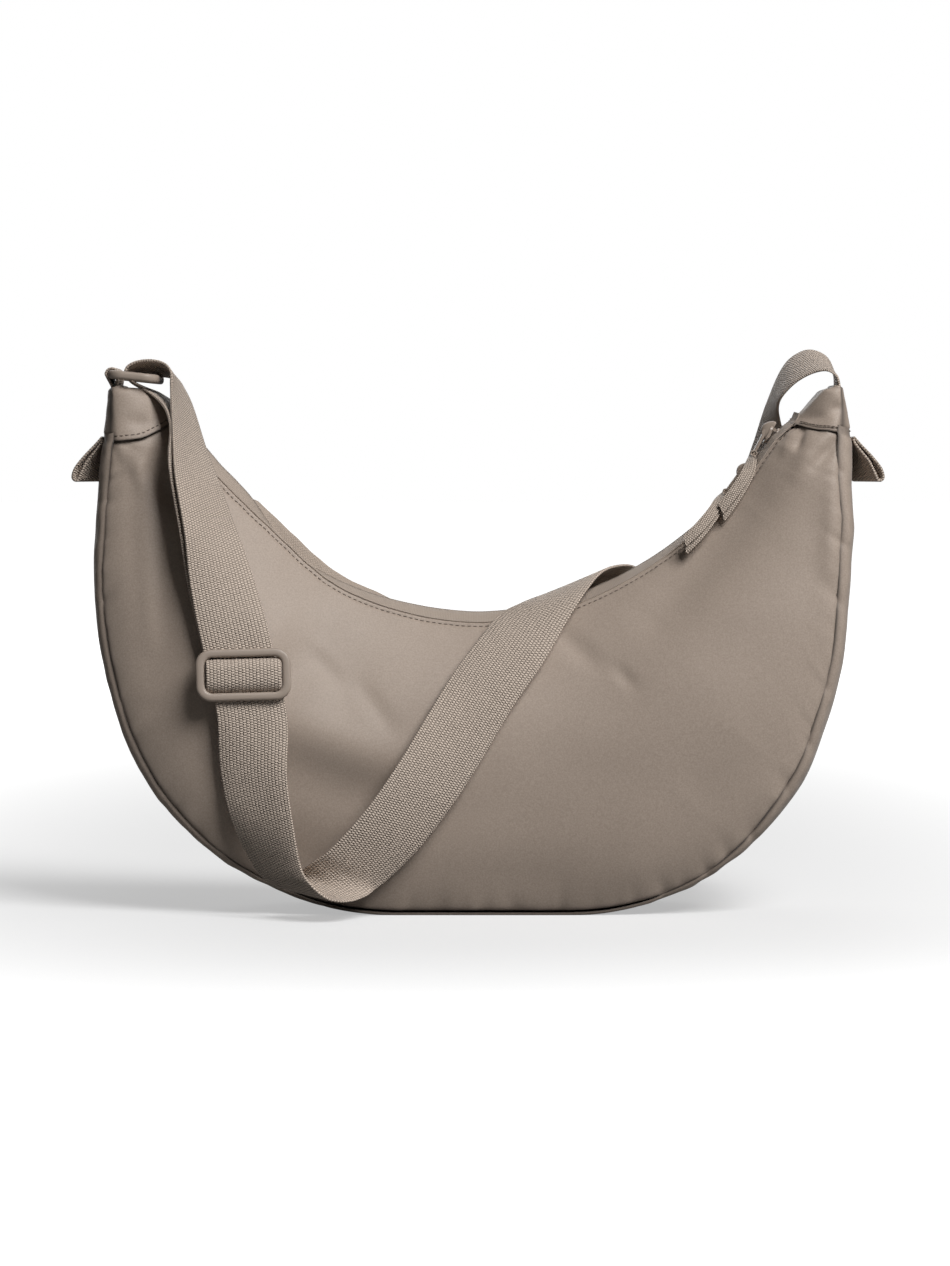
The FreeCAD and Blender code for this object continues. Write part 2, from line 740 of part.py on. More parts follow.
def strap_run():
    """Stretches of the strap from the ring over the front and the back to the right tip."""
    stretches = [
        ("strap_front_drop", FRONT_DROP_SHARES, -1),
        ("strap_front_fold", FRONT_FOLD_SHARES, -1),
        ("strap_front_rise", FRONT_RISE_SHARES, -1),
        ("strap_rim_crest", RIM_CREST_SHARES, -1),
        ("strap_back_drop", BACK_DROP_SHARES, 1),
        ("strap_back_fold", BACK_FOLD_SHARES, 1),
        ("strap_back_rise", BACK_RISE_SHARES, 1),
        ("strap_tip_arch", TIP_ARCH_SHARES, 0),
    ]
    stations = []
    ends = []
    for _, rows, side in stretches:
        stations += strap_stations(rows, side)
        ends.append(len(stations))
    sections = band_sections(stations, strap_width, strap_thickness)
    pieces = {}
    start = 0
    for (name, _, _), end in zip(stretches, ends):
        pieces[name] = band_solid(sections[start:end])
        start = end - 1
    return pieces


def ring_loop():
    """Webbing that loops loosely round the ring's free bar."""
    centre = Vector(ring_centre_x, 0, ring_height)
    stations = []
    for along_share, up_share in RING_LOOP_SHARES:
        place = centre + AXIS_X * (along_share * frame_height) + AXIS_Z * (up_share * frame_height)
        stations.append((place, AXIS_Y))
    return band(stations, strap_width, strap_thickness)


def frame_plate(length, height, corner):
    """Rounded rectangle standing in the XZ plane."""
    half_length = length / 2
    half_height = height / 2
    diagonal = corner * (1 - math.sqrt(2) / 2)
    edges = []
    here = Vector(corner - half_length, 0, -half_height)
    for x_side, z_side in ((1, -1), (1, 1), (-1, 1), (-1, -1)):
        outer_x = x_side * half_length
        outer_z = z_side * half_height
        on_level = Vector(outer_x - x_side * corner, 0, outer_z)
        on_upright = Vector(outer_x, 0, outer_z - z_side * corner)
        middle = Vector(outer_x - x_side * diagonal, 0, outer_z - z_side * diagonal)
        first, second = (on_level, on_upright) if x_side == -z_side else (on_upright, on_level)
        edges.append(Part.LineSegment(here, first).toShape())
        edges.append(Part.Arc(first, middle, second).toShape())
        here = second
    return Part.Face(Part.Wire(edges))


def strap_frame():
    """Rounded rectangular frame, its back face at the XZ plane and its front towards -Y."""
    outer = frame_plate(frame_length, frame_height, frame_corner).extrude(AXIS_Y * -frame_thickness)
    window_length = frame_length - 2 * frame_side
    window_height = frame_height - 2 * frame_rail
    inner = frame_plate(window_length, window_height, frame_corner - frame_rail)
    inner.translate(AXIS_Y * overrun)
    frame = outer.cut(inner.extrude(AXIS_Y * (-2 * overrun - frame_thickness)))
    rims = []
    for edge in frame.Edges:
        levels = [vertex.Point.y for vertex in edge.Vertexes]
        if max(levels) - min(levels) < frame_round:
            rims.append(edge)
    return frame.makeFillet(frame_round, rims)


def turned(shape, origin, along, upright):
    """Move a shape made in the XZ plane so that X lies along one direction and Z near another."""
    x_axis = Vector(along).normalize()
    y_axis = Vector(upright).cross(x_axis).normalize()
    z_axis = x_axis.cross(y_axis)
    matrix = FreeCAD.Matrix(
        x_axis.x, y_axis.x, z_axis.x, origin.x,
        x_axis.y, y_axis.y, z_axis.y, origin.y,
        x_axis.z, y_axis.z, z_axis.z, origin.z,
        0, 0, 0, 1,
    )
    return shape.transformGeometry(matrix)


def adjuster_seat():
    """Centre of the adjuster on the front strand, the direction across it and the direction up it."""
    stations = strap_stations(FRONT_DROP_SHARES[6:8], -1)
    centre = (stations[0][0] + stations[1][0]) / 2
    across = stations[0][1] + stations[1][1]
    return centre, across, stations[0][0] - stations[1][0]


def on_strand(shape):
    """Seat a shape made about the adjuster's middle on the front strand."""
    centre, across, upwards = adjuster_seat()
    return turned(shape, centre, across, upwards)


def adjuster():
    """Strap adjuster: the frame with a centre bar."""
    frame = strap_frame()
    half_bar = (frame_length - frame_side) / 2
    back = -(frame_thickness - bar_thickness) / 2
    bar = box_between((-half_bar, half_bar), (back - bar_thickness, back), (-bar_height / 2, bar_height / 2))
    shape = frame.fuse(bar).removeSplitter()
    shape.translate(AXIS_Y * -frame_back)
    return on_strand(shape)


def adjuster_wrap():
    """Webbing that rises over the adjuster's centre bar between its rails."""
    half_window = frame_height / 2 - frame_rail - 2 * cloth_gap - strap_thickness / 2
    foot = -(frame_back + strap_thickness / 2)
    crest = foot - wrap_rise
    stations = []
    for index in range(-4, 5):
        share = index / 4
        depth = foot + (crest - foot) * (1 - share ** 4)
        stations.append((Vector(0, depth, share * half_window), AXIS_X))
    width = frame_length - 2 * frame_side - 2 * cloth_gap
    return on_strand(band(stations, min(width, strap_width), strap_thickness))


def ring():
    """Strap ring, lying nearly level on the left tip with its long bars along Y."""
    shape = strap_frame()
    shape.translate(AXIS_Y * frame_thickness / 2)
    tilt = math.radians(ring_tilt)
    towards = Vector(math.cos(tilt), 0, -math.sin(tilt))
    return turned(shape, Vector(ring_centre_x, 0, ring_height), AXIS_Y, towards)


def ring_pivot():
    """Middle of the ring's held bar."""
    tilt = math.radians(ring_tilt)
    reach = (frame_height - frame_rail) / 2
    return Vector(ring_centre_x - reach * math.cos(tilt), 0, ring_height + reach * math.sin(tilt))


def ring_tab():
    """Short webbing tab from inside the left tip round the ring's held bar."""
    pivot = ring_pivot()
    radius = math.hypot(frame_rail, frame_thickness) / 2 + cloth_gap + strap_thickness / 2
    root = Vector(-half_width_at(tip_height), 0, tip_height + ring_tab_clearance)
    inset = cloth_thickness + cloth_gap + strap_thickness / 2
    outer_foot = root + AXIS_X * inset
    inner_foot = outer_foot + AXIS_X * (strap_thickness + cloth_gap)
    stations = [(outer_foot - AXIS_Z * tip_length / 2, AXIS_Y), (outer_foot, AXIS_Y)]
    for step in range(-4, 5):
        turn = math.radians(180 - 180 * (step + 4) / 8)
        place = pivot + Vector(math.cos(turn), 0, math.sin(turn)) * radius
        stations.append((place, AXIS_Y))
    stations.append((inner_foot, AXIS_Y))
    stations.append((inner_foot - AXIS_Z * tip_length / 2, AXIS_Y))
    return band(stations, strap_width, strap_thickness)


def right_side_tab():
    """Webbing loop sewn to the gusset just below the right tip seam."""
    foot_height = seam_height + SIDE_TAB_SHARES[-1][1] * tab_loop_reach
    root = Vector(half_width_at(foot_height) + cloth_gap + strap_thickness / 2, 0, seam_height)
    stations = []
    for along_share, up_share in SIDE_TAB_SHARES:
        place = root + AXIS_X * (along_share * tab_loop_reach) + AXIS_Z * (up_share * tab_loop_reach)
        stations.append((place, AXIS_Y))
    return band(stations, tab_loop_width, strap_thickness)


def mirrored(shape, normal):
    """The shape mirrored through the bag's middle."""
    return shape.mirror(ORIGIN, normal)


def build_shell(nodes):
    """Panels, gusset and tip caps."""
    nodes["front_panel"] = front_sheet(seam_angle, 0, cloth_thickness, 0, 0)
    nodes["back_panel"] = mirrored(nodes["front_panel"], AXIS_Y)
    seam_set = cloth_thickness + cloth_gap
    nodes["gusset"] = gusset_sheet(0, cloth_thickness, seam_set, 0, seam_height)
    band_above = gusset_sheet(0, cloth_thickness, seam_set, seam_height + cloth_gap, tip_height)
    tips = sorted(band_above.Solids, key=lambda solid: solid.CenterOfMass.x)
    nodes["left_tip_gusset"] = tips[0]
    nodes["right_tip_gusset"] = tips[-1]
    nodes["right_tip_front"] = right_tip_front()
    nodes["right_tip_back"] = mirrored(nodes["right_tip_front"], AXIS_Y)
    nodes["left_tip_front"] = mirrored(nodes["right_tip_front"], AXIS_X)
    nodes["left_tip_back"] = mirrored(nodes["right_tip_back"], AXIS_X)


def build_lining(nodes):
    """Linings and the slip pocket."""
    outer = cloth_thickness + cloth_gap
    lining_angle = seam_angle - seam_allowance / rim_radius
    nodes["front_lining"] = front_sheet(lining_angle, outer, lining_thickness, cloth_gap, seam_allowance)
    nodes["back_lining"] = mirrored(nodes["front_lining"], AXIS_Y)
    top = seam_height - seam_allowance
    nodes["gusset_lining"] = gusset_sheet(outer, lining_thickness, 2 * seam_allowance, 0, top)
    nodes["slip_pocket"] = mirrored(front_pocket(), AXIS_Y)


def build_zip(nodes):
    """Tapes, coils, stops, sliders, pull tabs and ribbons."""
    nodes["zip_tape_front"] = front_tape()
    nodes["zip_tape_back"] = mirrored(nodes["zip_tape_front"], AXIS_Y)
    nodes["zip_coil_front"] = front_coil()
    nodes["zip_coil_back"] = mirrored(nodes["zip_coil_front"], AXIS_Y)
    nodes["zip_end_stops"] = zip_stops()
    sliders = (("lead", lead_slider_angle, LEAD_RIBBON_SHARES), ("end", end_slider_angle, END_RIBBON_SHARES))
    for name, angle, route_shares in sliders:
        nodes[name + "_slider"] = slider_body(angle)
        nodes[name + "_pull_tab"] = pull_tab(angle)
        nodes[name + "_ribbon"] = ribbon(angle, route_shares)


def build_strap(nodes):
    """Strap, ring, adjuster and webbing tabs."""
    nodes.update(strap_run())
    nodes["strap_return"] = band(strap_stations(STRAP_RETURN_SHARES, -1), strap_width, strap_thickness)
    nodes["strap_ring_loop"] = ring_loop()
    nodes["strap_ring"] = ring()
    nodes["ring_tab"] = ring_tab()
    nodes["strap_adjuster"] = adjuster()
    nodes["adjuster_wrap"] = adjuster_wrap()
    nodes["right_side_tab"] = right_side_tab()
    nodes["left_side_tab"] = mirrored(nodes["right_side_tab"], AXIS_X)


def build_bag():
    """All pieces of the bag by name."""
    nodes = {}
    build_shell(nodes)
    build_lining(nodes)
    build_zip(nodes)
    build_strap(nodes)
    return nodes


os.makedirs("parts", exist_ok=True)
for node_name, node_shape in build_bag().items():
    node_shape.exportStep("parts/" + node_name + ".step")
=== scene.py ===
"""Half moon bag in satin nylon with a webbing strap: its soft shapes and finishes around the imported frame."""

import bisect
import enum
import functools
import logging
import math
import random
from dataclasses import dataclass, field
from typing import Callable, ClassVar, Dict, List, Optional, Sequence, Tuple

import bmesh
import bpy
from mathutils import Matrix, Vector, noise


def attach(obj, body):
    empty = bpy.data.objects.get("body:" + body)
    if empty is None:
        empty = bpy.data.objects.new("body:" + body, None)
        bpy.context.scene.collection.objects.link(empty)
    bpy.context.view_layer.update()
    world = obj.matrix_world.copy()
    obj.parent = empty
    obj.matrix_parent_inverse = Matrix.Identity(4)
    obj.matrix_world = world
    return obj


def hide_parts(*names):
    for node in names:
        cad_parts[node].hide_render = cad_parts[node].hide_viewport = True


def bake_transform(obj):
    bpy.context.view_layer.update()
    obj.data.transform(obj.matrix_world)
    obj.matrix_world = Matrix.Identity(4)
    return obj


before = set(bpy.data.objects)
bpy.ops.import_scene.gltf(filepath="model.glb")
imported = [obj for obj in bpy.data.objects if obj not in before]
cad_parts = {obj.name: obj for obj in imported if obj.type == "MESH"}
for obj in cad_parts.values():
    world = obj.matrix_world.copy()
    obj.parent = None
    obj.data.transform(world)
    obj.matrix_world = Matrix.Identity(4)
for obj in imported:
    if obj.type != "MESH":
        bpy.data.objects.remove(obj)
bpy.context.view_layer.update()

LOG = logging.getLogger("half_moon_bag")
MILLIMETRE = 0.001
UP = Vector((0.0, 0.0, 1.0))
ACROSS = Vector((0.0, 1.0, 0.0))

Piece = bpy.types.Object
Material = bpy.types.Material
Node = bpy.types.Node
NodeTree = bpy.types.NodeTree
Socket = bpy.types.NodeSocket
Pair = Tuple[float, float]
Triple = Tuple[float, float, float]
Colour = Triple
Table = Sequence[Pair]
Row = Tuple[float, float, float, float, float, float]
RibbonRow = Tuple[float, float, float, Triple]
Edge = Tuple[Vector, Vector]
Placing = Callable[[float, float], Vector]


class Side(enum.Enum):
    """Which way a stretch of strap or a sheet faces."""

    FRONT = -1
    AIR = 0
    BACK = 1


class Hand(enum.IntEnum):
    """Which tip of the bag, as the sign of its X."""

    LEFT = -1
    RIGHT = 1


class Slot(enum.Enum):
    """The record's material slots."""

    SHELL = "shell"
    LINING = "lining"
    TAPE = "zip_tape"
    COIL = "zip_coil"
    METAL = "slider_metal"
    RIBBON = "ribbon"
    BUCKLE = "buckle"
    WEBBING = "webbing"


def lerp(first: float, last: float, share: float) -> float:
    """Value at a share of the way from first to last."""
    return first + (last - first) * share


def smooth(low: float, high: float, value: float) -> float:
    """Smooth step from 0 at low to 1 at high."""
    share = min(1.0, max(0.0, (value - low) / (high - low)))
    return share * share * (3.0 - 2.0 * share)


def bell(distance: float, width: float) -> float:
    """Bell curve of a distance."""
    return math.exp(-(distance / width) ** 2)


def middle(pair: Edge) -> Vector:
    """Point half way between two edge points."""
    return (pair[0] + pair[1]) / 2


def pair_at(centre: Vector, half: Vector) -> Edge:
    """Edge points on both sides of a centre."""
    return centre - half, centre + half


def heading(turn: float) -> Vector:
    """Direction in the bag's front plane at a turn up from X."""
    return Vector((math.cos(turn), 0.0, math.sin(turn)))


def turned(x_axis: Vector, y_axis: Vector, z_axis: Vector) -> Matrix:
    """Matrix that turns to three axes."""
    return Matrix((x_axis, y_axis, z_axis)).transposed().to_4x4()


def place_new(name: str, data: bpy.types.ID) -> Piece:
    """Put a new object with the given data into the scene."""
    holder = bpy.data.objects.new(name, data)
    bpy.context.scene.collection.objects.link(holder)
    return holder


def deselect() -> None:
    """Leave edit mode and deselect everything."""
    if bpy.context.object and bpy.context.object.mode != "OBJECT":
        bpy.ops.object.mode_set(mode="OBJECT")
    bpy.ops.object.select_all(action="DESELECT")


def activate(piece: Piece) -> None:
    """Make a piece the only selected and active object."""
    deselect()
    piece.select_set(True)
    bpy.context.view_layer.objects.active = piece


def apply_all(piece: Piece) -> None:
    """Apply a piece's modifiers in order."""
    activate(piece)
    for modifier in list(piece.modifiers):
        bpy.ops.object.modifier_apply(modifier=modifier.name)


def shade(piece: Piece, angle: float = 40.0) -> None:
    """Smooth a piece's shading up to an angle in degrees."""
    activate(piece)
    bpy.ops.object.shade_smooth_by_angle(angle=math.radians(angle))
    deselect()


# How the filled bag settles: degrees about the rim's centre, millimetres out from the outline.
OUTLINE_SETTLE = [
    (-67, 2), (-61, 2.8), (-57, 3.2), (-53, 4.4), (-48, 5), (-43, 5.6), (-38, 6.8), (-33, 6.2),
    (-28, 4.4), (-21, 2), (-16, 0.8), (-10, 0), (8, 0), (12, 0.9), (17, 2.2), (22, 3.2), (28, 3),
    (33, 3.4), (38, 0.4), (43, -1.2), (48, -3.8), (53, -3.4), (57, -0.9), (61, -1.8), (67, -0.5),
]
# How the zipped rim settles: degrees about the rim's centre, millimetres out from the arc.
RIM_SETTLE = [
    (-67, -6.5), (-64, -6), (-60, -6.5), (-56, -8), (-51, -10), (-46, -11), (-41, -11), (-36, -9.6),
    (-31, -6.8), (-27, -4.6), (-23, -3.3), (-15, -2.4), (-7, -1.5), (0, -1), (7, -1.4), (15, -2.2),
    (23, -3), (31, -3.2), (38, -3.2), (45, -2.8), (50, -2), (54, -1.2), (58, -1), (62, 0), (64.5, 3),
    (66.5, 6), (67, 6),
]
# Where the gusset seam is pulled in: degrees about the rim's centre, strength.
PINCHES = [
    (-59.7, 0.7), (-49.7, 1), (-40, 0.5), (-31, 0.7), (-24, 0.5), (-14, 0.4), (3, 0.3), (16.8, 0.8),
    (21.2, 1.1), (26.3, 1.2), (31.3, 0.9), (35.6, 1.2), (40.6, 1.3), (48.4, 1), (54.3, 0.9), (62.3, 0.8),
]
PINCH_REACH = 240.0
PINCH_LIMIT = 6.0
TABLE_EASE = 0.4


def table_at(table: Table, spot: float) -> float:
    """Value of a table at a spot, eased a little at each row."""
    if spot <= table[0][0]:
        return table[0][1]
    for (low, first), (high, last) in zip(table, table[1:]):
        if spot <= high:
            even = (spot - low) / (high - low)
            return lerp(first, last, lerp(even, smooth(low, high, spot), TABLE_EASE))
    return table[-1][1]


def settle(table: Table, angle: float) -> float:
    """Value of a table of degrees and millimetres at an angle in radians."""
    return table_at(table, math.degrees(angle))


def pinch(angle: float, width: float) -> float:
    """Strength of the pull at the pinches near an angle, each as wide as given in millimetres."""
    total = 0.0
    for place, strength in PINCHES:
        away = abs(angle - math.radians(place)) * PINCH_REACH
        if away < PINCH_LIMIT * width:
            total += strength * math.exp(-away / width)
    return total


@dataclass
class BagForm:
    """Sizes of the bag's body in millimetres and the places that follow from them."""

    half_width: float = 210.0
    base_half_length: float = 44.0
    side_bow: float = 8.0
    side_lift: float = 37.0
    tip_height: float = 289.0
    tip_lean: float = 5.5
    tip_length: float = 28.0
    tip_top: float = 8.0
    rim_low: float = 165.0
    rim_radius: float = 184.0
    base_half_depth: float = 48.0
    tip_half_depth: float = 22.0
    bulge: float = 22.0
    mouth_half_width: float = 12.0
    mouth_slope: float = 1.5
    left_rim_drop: float = 5.0
    right_rim_drop: float = 1.8
    left_seam_set: float = 4.6
    right_seam_set: float = 7.6
    tip_seam_set: float = 1.5
    tip_seam_ease: float = 12.0
    seam_set_height: float = 75.0
    solid_inset: float = 1.5
    base_tuck: float = 6.0
    base_tuck_height: float = 60.0
    left_tuck: float = 7.0
    left_tuck_top: Pair = (220.0, 262.0)
    left_tuck_turn: Pair = (0.45, 0.85)
    pinch_swell: float = 0.35
    pinch_width: float = 6.0
    pinch_floor: float = 20.0
    halvings: int = 44

    def __post_init__(self) -> None:
        """Work out the arcs of the outline and the angles of the seams."""
        self.corner = self.half_width - self.base_half_length - self.side_bow
        self.side_rise = self.corner + self.side_lift
        self.side_turn = 2 * math.atan(self.side_lift / self.side_bow) - math.pi / 2
        self.side_radius = self.corner + self.side_lift / math.cos(self.side_turn)
        self.corner_top = self.corner * (1 - math.cos(self.side_turn))
        lean_rise = self.tip_height - self.side_rise
        self.lean_radius = (lean_rise ** 2 + self.tip_lean ** 2) / (2 * self.tip_lean)
        self.centre = self.rim_low + self.rim_radius
        self.mid_chord = math.hypot(self.rim_low, self.base_half_depth - self.mouth_half_width)
        self.seam_height = self.tip_height - self.tip_length
        self.seam_angle = self.angle_at(self.seam_height)
        self.tip_angle = self.angle_at(self.tip_height)
        self.tip_reach = math.hypot(self.width_at(self.tip_height), self.centre - self.tip_height)

    def width_at(self, height: float) -> float:
        """Half width of the outline at a height."""
        if height < self.corner_top:
            return self.base_half_length + math.sqrt(self.corner ** 2 - (self.corner - height) ** 2)
        if height < self.side_rise:
            drop = self.side_rise - height
            return self.half_width - self.side_radius + math.sqrt(self.side_radius ** 2 - drop ** 2)
        rise = height - self.side_rise
        return self.half_width - self.lean_radius + math.sqrt(self.lean_radius ** 2 - rise ** 2)

    def angle_at(self, height: float) -> float:
        """Angle about the rim's centre of the outline at a height."""
        return math.atan2(self.width_at(height), self.centre - height)

    def depth_of_seam(self, height: float) -> float:
        """Half depth of the bag along the gusset seam at a height."""
        drop = self.base_half_depth - self.tip_half_depth
        return self.base_half_depth - drop * (height / self.tip_height) ** 2

    def reach_at(self, angle: float) -> float:
        """Distance from the rim's centre to the outline along an angle."""
        inside, outside = self.rim_radius, self.centre + self.half_width
        for _ in range(self.halvings):
            probe = (inside + outside) / 2
            height = self.centre - probe * math.cos(angle)
            width = self.width_at(min(max(height, 0.0), self.tip_height))
            if height > 0 and probe * abs(math.sin(angle)) < width:
                inside = probe
            else:
                outside = probe
        return inside

    def outline_at(self, angle: float) -> float:
        """Distance from the rim's centre to the settled outline along an angle."""
        return self.reach_at(abs(angle)) + settle(OUTLINE_SETTLE, angle)

    def rim_at(self, angle: float) -> float:
        """Distance from the rim's centre to the settled zip along an angle."""
        return self.rim_radius + settle(RIM_SETTLE, angle)

    def fall_at(self, angle: float) -> float:
        """How far the folded rims lie below the zip along an angle."""
        return lerp(self.left_rim_drop, self.right_rim_drop, smooth(0.15, 0.75, angle))

    def seam_inset(self, angle: float, height: float) -> float:
        """How far the gusset seam lies inside the outline at an angle and a height."""
        rise = smooth(0.0, self.seam_set_height, height)
        tip = smooth(self.seam_height - self.tip_seam_ease, self.tip_height, height)
        inset = lerp(self.left_seam_set, self.right_seam_set, smooth(-0.4, 0.4, angle))
        return self.solid_inset + inset * rise - (inset - self.tip_seam_set) * tip

    def seam_at(self, angle: float) -> Pair:
        """Reach and depth of the gusset seam at an angle about the rim's centre."""
        outline = self.outline_at(angle)
        height = max(0.0, self.centre - outline * math.cos(angle))
        tuck = self.base_tuck * (1.0 - smooth(0.0, self.base_tuck_height, height))
        side = smooth(*self.left_tuck_turn, -angle) * (1.0 - smooth(*self.left_tuck_top, height))
        tuck += self.left_tuck * side
        swell = self.pinch_swell * pinch(angle, self.pinch_width) * smooth(0.0, self.pinch_floor, height)
        return outline - self.seam_inset(angle, height) + swell, self.depth_of_seam(height) - tuck

    def place(self, angle: float, reach: float, depth: float) -> Vector:
        """Point at an angle and a reach about the rim's centre, at a depth along Y."""
        return Vector((reach * math.sin(angle), depth, self.centre - reach * math.cos(angle)))

    def depth_at(self, across: float, height: float) -> float:
        """Half depth of the solid bag at a place, fading to nothing above the rim."""
        reach = math.hypot(across, self.centre - height)
        if reach < self.rim_radius:
            return max(0.0, self.mouth_half_width - (self.rim_radius - reach) * self.mouth_slope)
        angle = min(abs(math.atan2(across, self.centre - height)), self.tip_angle)
        section = PanelSection.solid(self, angle)
        inside = section.radius ** 2 - (reach - section.centre_reach) ** 2
        return max(0.0, section.centre_depth + math.sqrt(max(0.0, inside)))


FORM = BagForm()


class PanelSection:
    """The bulged line of a panel in one plane through the rim's centre."""

    def __init__(self, form: BagForm, angle: float, rim: Pair, seam: Pair) -> None:
        """Lay an arc from the rim to the seam.

        Args:
            form: The bag's sizes.
            angle: Angle of the plane about the rim's centre.
            rim: Reach and depth of the rim.
            seam: Reach and depth of the seam.
        """
        along, across = seam[0] - rim[0], seam[1] - rim[1]
        chord = math.hypot(along, across)
        rise = form.bulge * chord / form.mid_chord
        self.form = form
        self.angle = angle
        self.radius = (chord ** 2 / 4 + rise ** 2) / (2 * rise)
        back = (self.radius - rise) / chord
        self.centre_reach = (seam[0] + rim[0]) / 2 + across * back
        self.centre_depth = (seam[1] + rim[1]) / 2 - along * back
        self.start = math.atan2(rim[1] - self.centre_depth, rim[0] - self.centre_reach)
        self.end = math.atan2(seam[1] - self.centre_depth, seam[0] - self.centre_reach)
        if self.start < self.end:
            self.start += 2 * math.pi
        self.length = self.radius * (self.start - self.end)

    @classmethod
    def solid(cls, form: BagForm, angle: float) -> "PanelSection":
        """Section of the solid panel that the strap lies on."""
        reach = form.reach_at(angle) - form.solid_inset
        depth = form.depth_of_seam(form.centre - reach * math.cos(angle))
        return cls(form, angle, (form.rim_radius, form.mouth_half_width), (reach, depth))

    @classmethod
    def cloth(cls, form: BagForm, angle: float) -> "PanelSection":
        """Section of the sewn panel, from its folded rim to the gusset seam."""
        rim = (form.rim_at(angle) + form.fall_at(angle), form.mouth_half_width)
        return cls(form, angle, rim, form.seam_at(angle))

    def point(self, distance: float, lift: float, side: Side) -> Vector:
        """Point at a distance along the arc from the rim, lifted off the cloth.

        Args:
            distance: Length along the arc.
            lift: Height outwards from the arc.
            side: Front or back of the bag.

        Returns:
            The point in millimetres.
        """
        turn = self.start - distance / self.radius
        reach = self.centre_reach + (self.radius + lift) * math.cos(turn)
        depth = self.centre_depth + (self.radius + lift) * math.sin(turn)
        return self.form.place(self.angle, reach, side.value * depth)


@dataclass(frozen=True)
class Fade:
    """A height in millimetres, or a strength, that fades away from a seam."""

    height: float
    length: float

    def at(self, away: float) -> float:
        """What is left of the height at a distance from the seam."""
        return self.height * math.exp(-away / self.length)


@dataclass(frozen=True)
class Dent:
    """A small soft hollow, in millimetres seen from the front."""

    depth: float
    spot: Pair
    size: Pair

    def at(self, across: float, height: float) -> float:
        """How deep the hollow is at a place."""
        level = bell(across - self.spot[0], self.size[0])
        return self.depth * level * bell(height - self.spot[1], self.size[1])


@dataclass(frozen=True)
class Fold:
    """A soft dent or ridge in a panel between two places, in millimetres seen from the front."""

    start: Pair
    end: Pair
    width: float
    height: float

    def lift(self, across: float, height: float) -> float:
        """How far the fold lifts the cloth at a place."""
        run_x, run_z = self.end[0] - self.start[0], self.end[1] - self.start[1]
        length = math.hypot(run_x, run_z)
        share = ((across - self.start[0]) * run_x + (height - self.start[1]) * run_z) / length ** 2
        inside = min(1.0, max(0.0, share))
        near_x = self.start[0] + run_x * inside
        near_z = self.start[1] + run_z * inside
        away = math.hypot(across - near_x, height - near_z)
        fade = math.sin(math.pi * (0.15 + 0.7 * inside))
        return self.height * fade * bell(away, self.width)


def grid(name: str, columns: int, rows: int, place: Placing, span: Pair,
         seam_shade: Optional[Callable[[float, float], float]] = None) -> Piece:
    """Shape a flat grid into a sheet.

    Args:
        name: The piece's name.
        columns: Faces along the sheet.
        rows: Faces across the sheet.
        place: Point in millimetres for shares along and across.
        span: Real length and width in millimetres, for the weave.
        seam_shade: How much painted seam shade the cloth takes for shares along and across, from 0 to 1.

    Returns:
        The sheet as an object at the origin.
    """
    deselect()
    bpy.ops.mesh.primitive_grid_add(x_subdivisions=columns, y_subdivisions=rows, size=1.0)
    piece = bpy.context.object
    piece.name = piece.data.name = name
    shares = [(vertex.co.x + 0.5, vertex.co.y + 0.5) for vertex in piece.data.vertices]
    for vertex, spot in zip(piece.data.vertices, shares):
        vertex.co = place(*spot) * MILLIMETRE
    if seam_shade:
        store_seam_shade(piece, [seam_shade(*spot) for spot in shares])
    for loop in piece.data.uv_layers.active.data:
        loop.uv = (loop.uv[0] * span[0] * MILLIMETRE, loop.uv[1] * span[1] * MILLIMETRE)
    piece.data.update()
    return piece


def store_seam_shade(piece: Piece, values: Sequence[float]) -> None:
    """Store on each point how much painted seam shade it takes."""
    layer = piece.data.attributes.new("seam_shade", "FLOAT", "POINT")
    layer.data.foreach_set("value", list(values))


def thicken(piece: Piece, thickness: float) -> None:
    """Give a sheet its thickness in millimetres, inwards from its face."""
    solid = piece.modifiers.new("cloth", "SOLIDIFY")
    solid.thickness = thickness * MILLIMETRE
    solid.offset = -1.0
    solid.use_even_offset = True
    apply_all(piece)


def tube(name: str, rings: Sequence[Sequence[Vector]],
         uv: Optional[Callable[[int, int], Pair]] = None) -> Piece:
    """Skin closed rings of points into one mesh and fill its ends.

    Args:
        name: The piece's name.
        rings: Rings of points in millimetres, with as many points each.
        uv: Place on the flat webbing, in millimetres, for a ring and a point.

    Returns:
        The skinned object at the origin.
    """
    mesh = bpy.data.meshes.new(name)
    build = bmesh.new()
    layer = build.loops.layers.uv.new("UVMap")
    verts = [[build.verts.new(point * MILLIMETRE) for point in ring] for ring in rings]
    count = len(rings[0])
    for index in range(len(rings) - 1):
        for turn in range(count):
            after = (turn + 1) % count
            face = build.faces.new((verts[index][turn], verts[index][after],
                                    verts[index + 1][after], verts[index + 1][turn]))
            if uv:
                spots = ((index, turn), (index, turn + 1), (index + 1, turn + 1), (index + 1, turn))
                for loop, spot in zip(face.loops, spots):
                    loop[layer].uv = [value * MILLIMETRE for value in uv(*spot)]
    build.faces.new(list(reversed(verts[0])))
    build.faces.new(verts[-1])
    bmesh.ops.recalc_face_normals(build, faces=build.faces)
    build.to_mesh(mesh)
    build.free()
    return place_new(name, mesh)


def copies(name: str, pattern: Piece, places: Sequence[Matrix]) -> Piece:
    """Repeat a small pattern object at many places in one mesh and remove the pattern."""
    mesh = bpy.data.meshes.new(name)
    build = bmesh.new()
    for place in places:
        copy = pattern.data.copy()
        copy.transform(place)
        build.from_mesh(copy)
        bpy.data.meshes.remove(copy)
    build.to_mesh(mesh)
    build.free()
    bpy.data.objects.remove(pattern)
    return place_new(name, mesh)


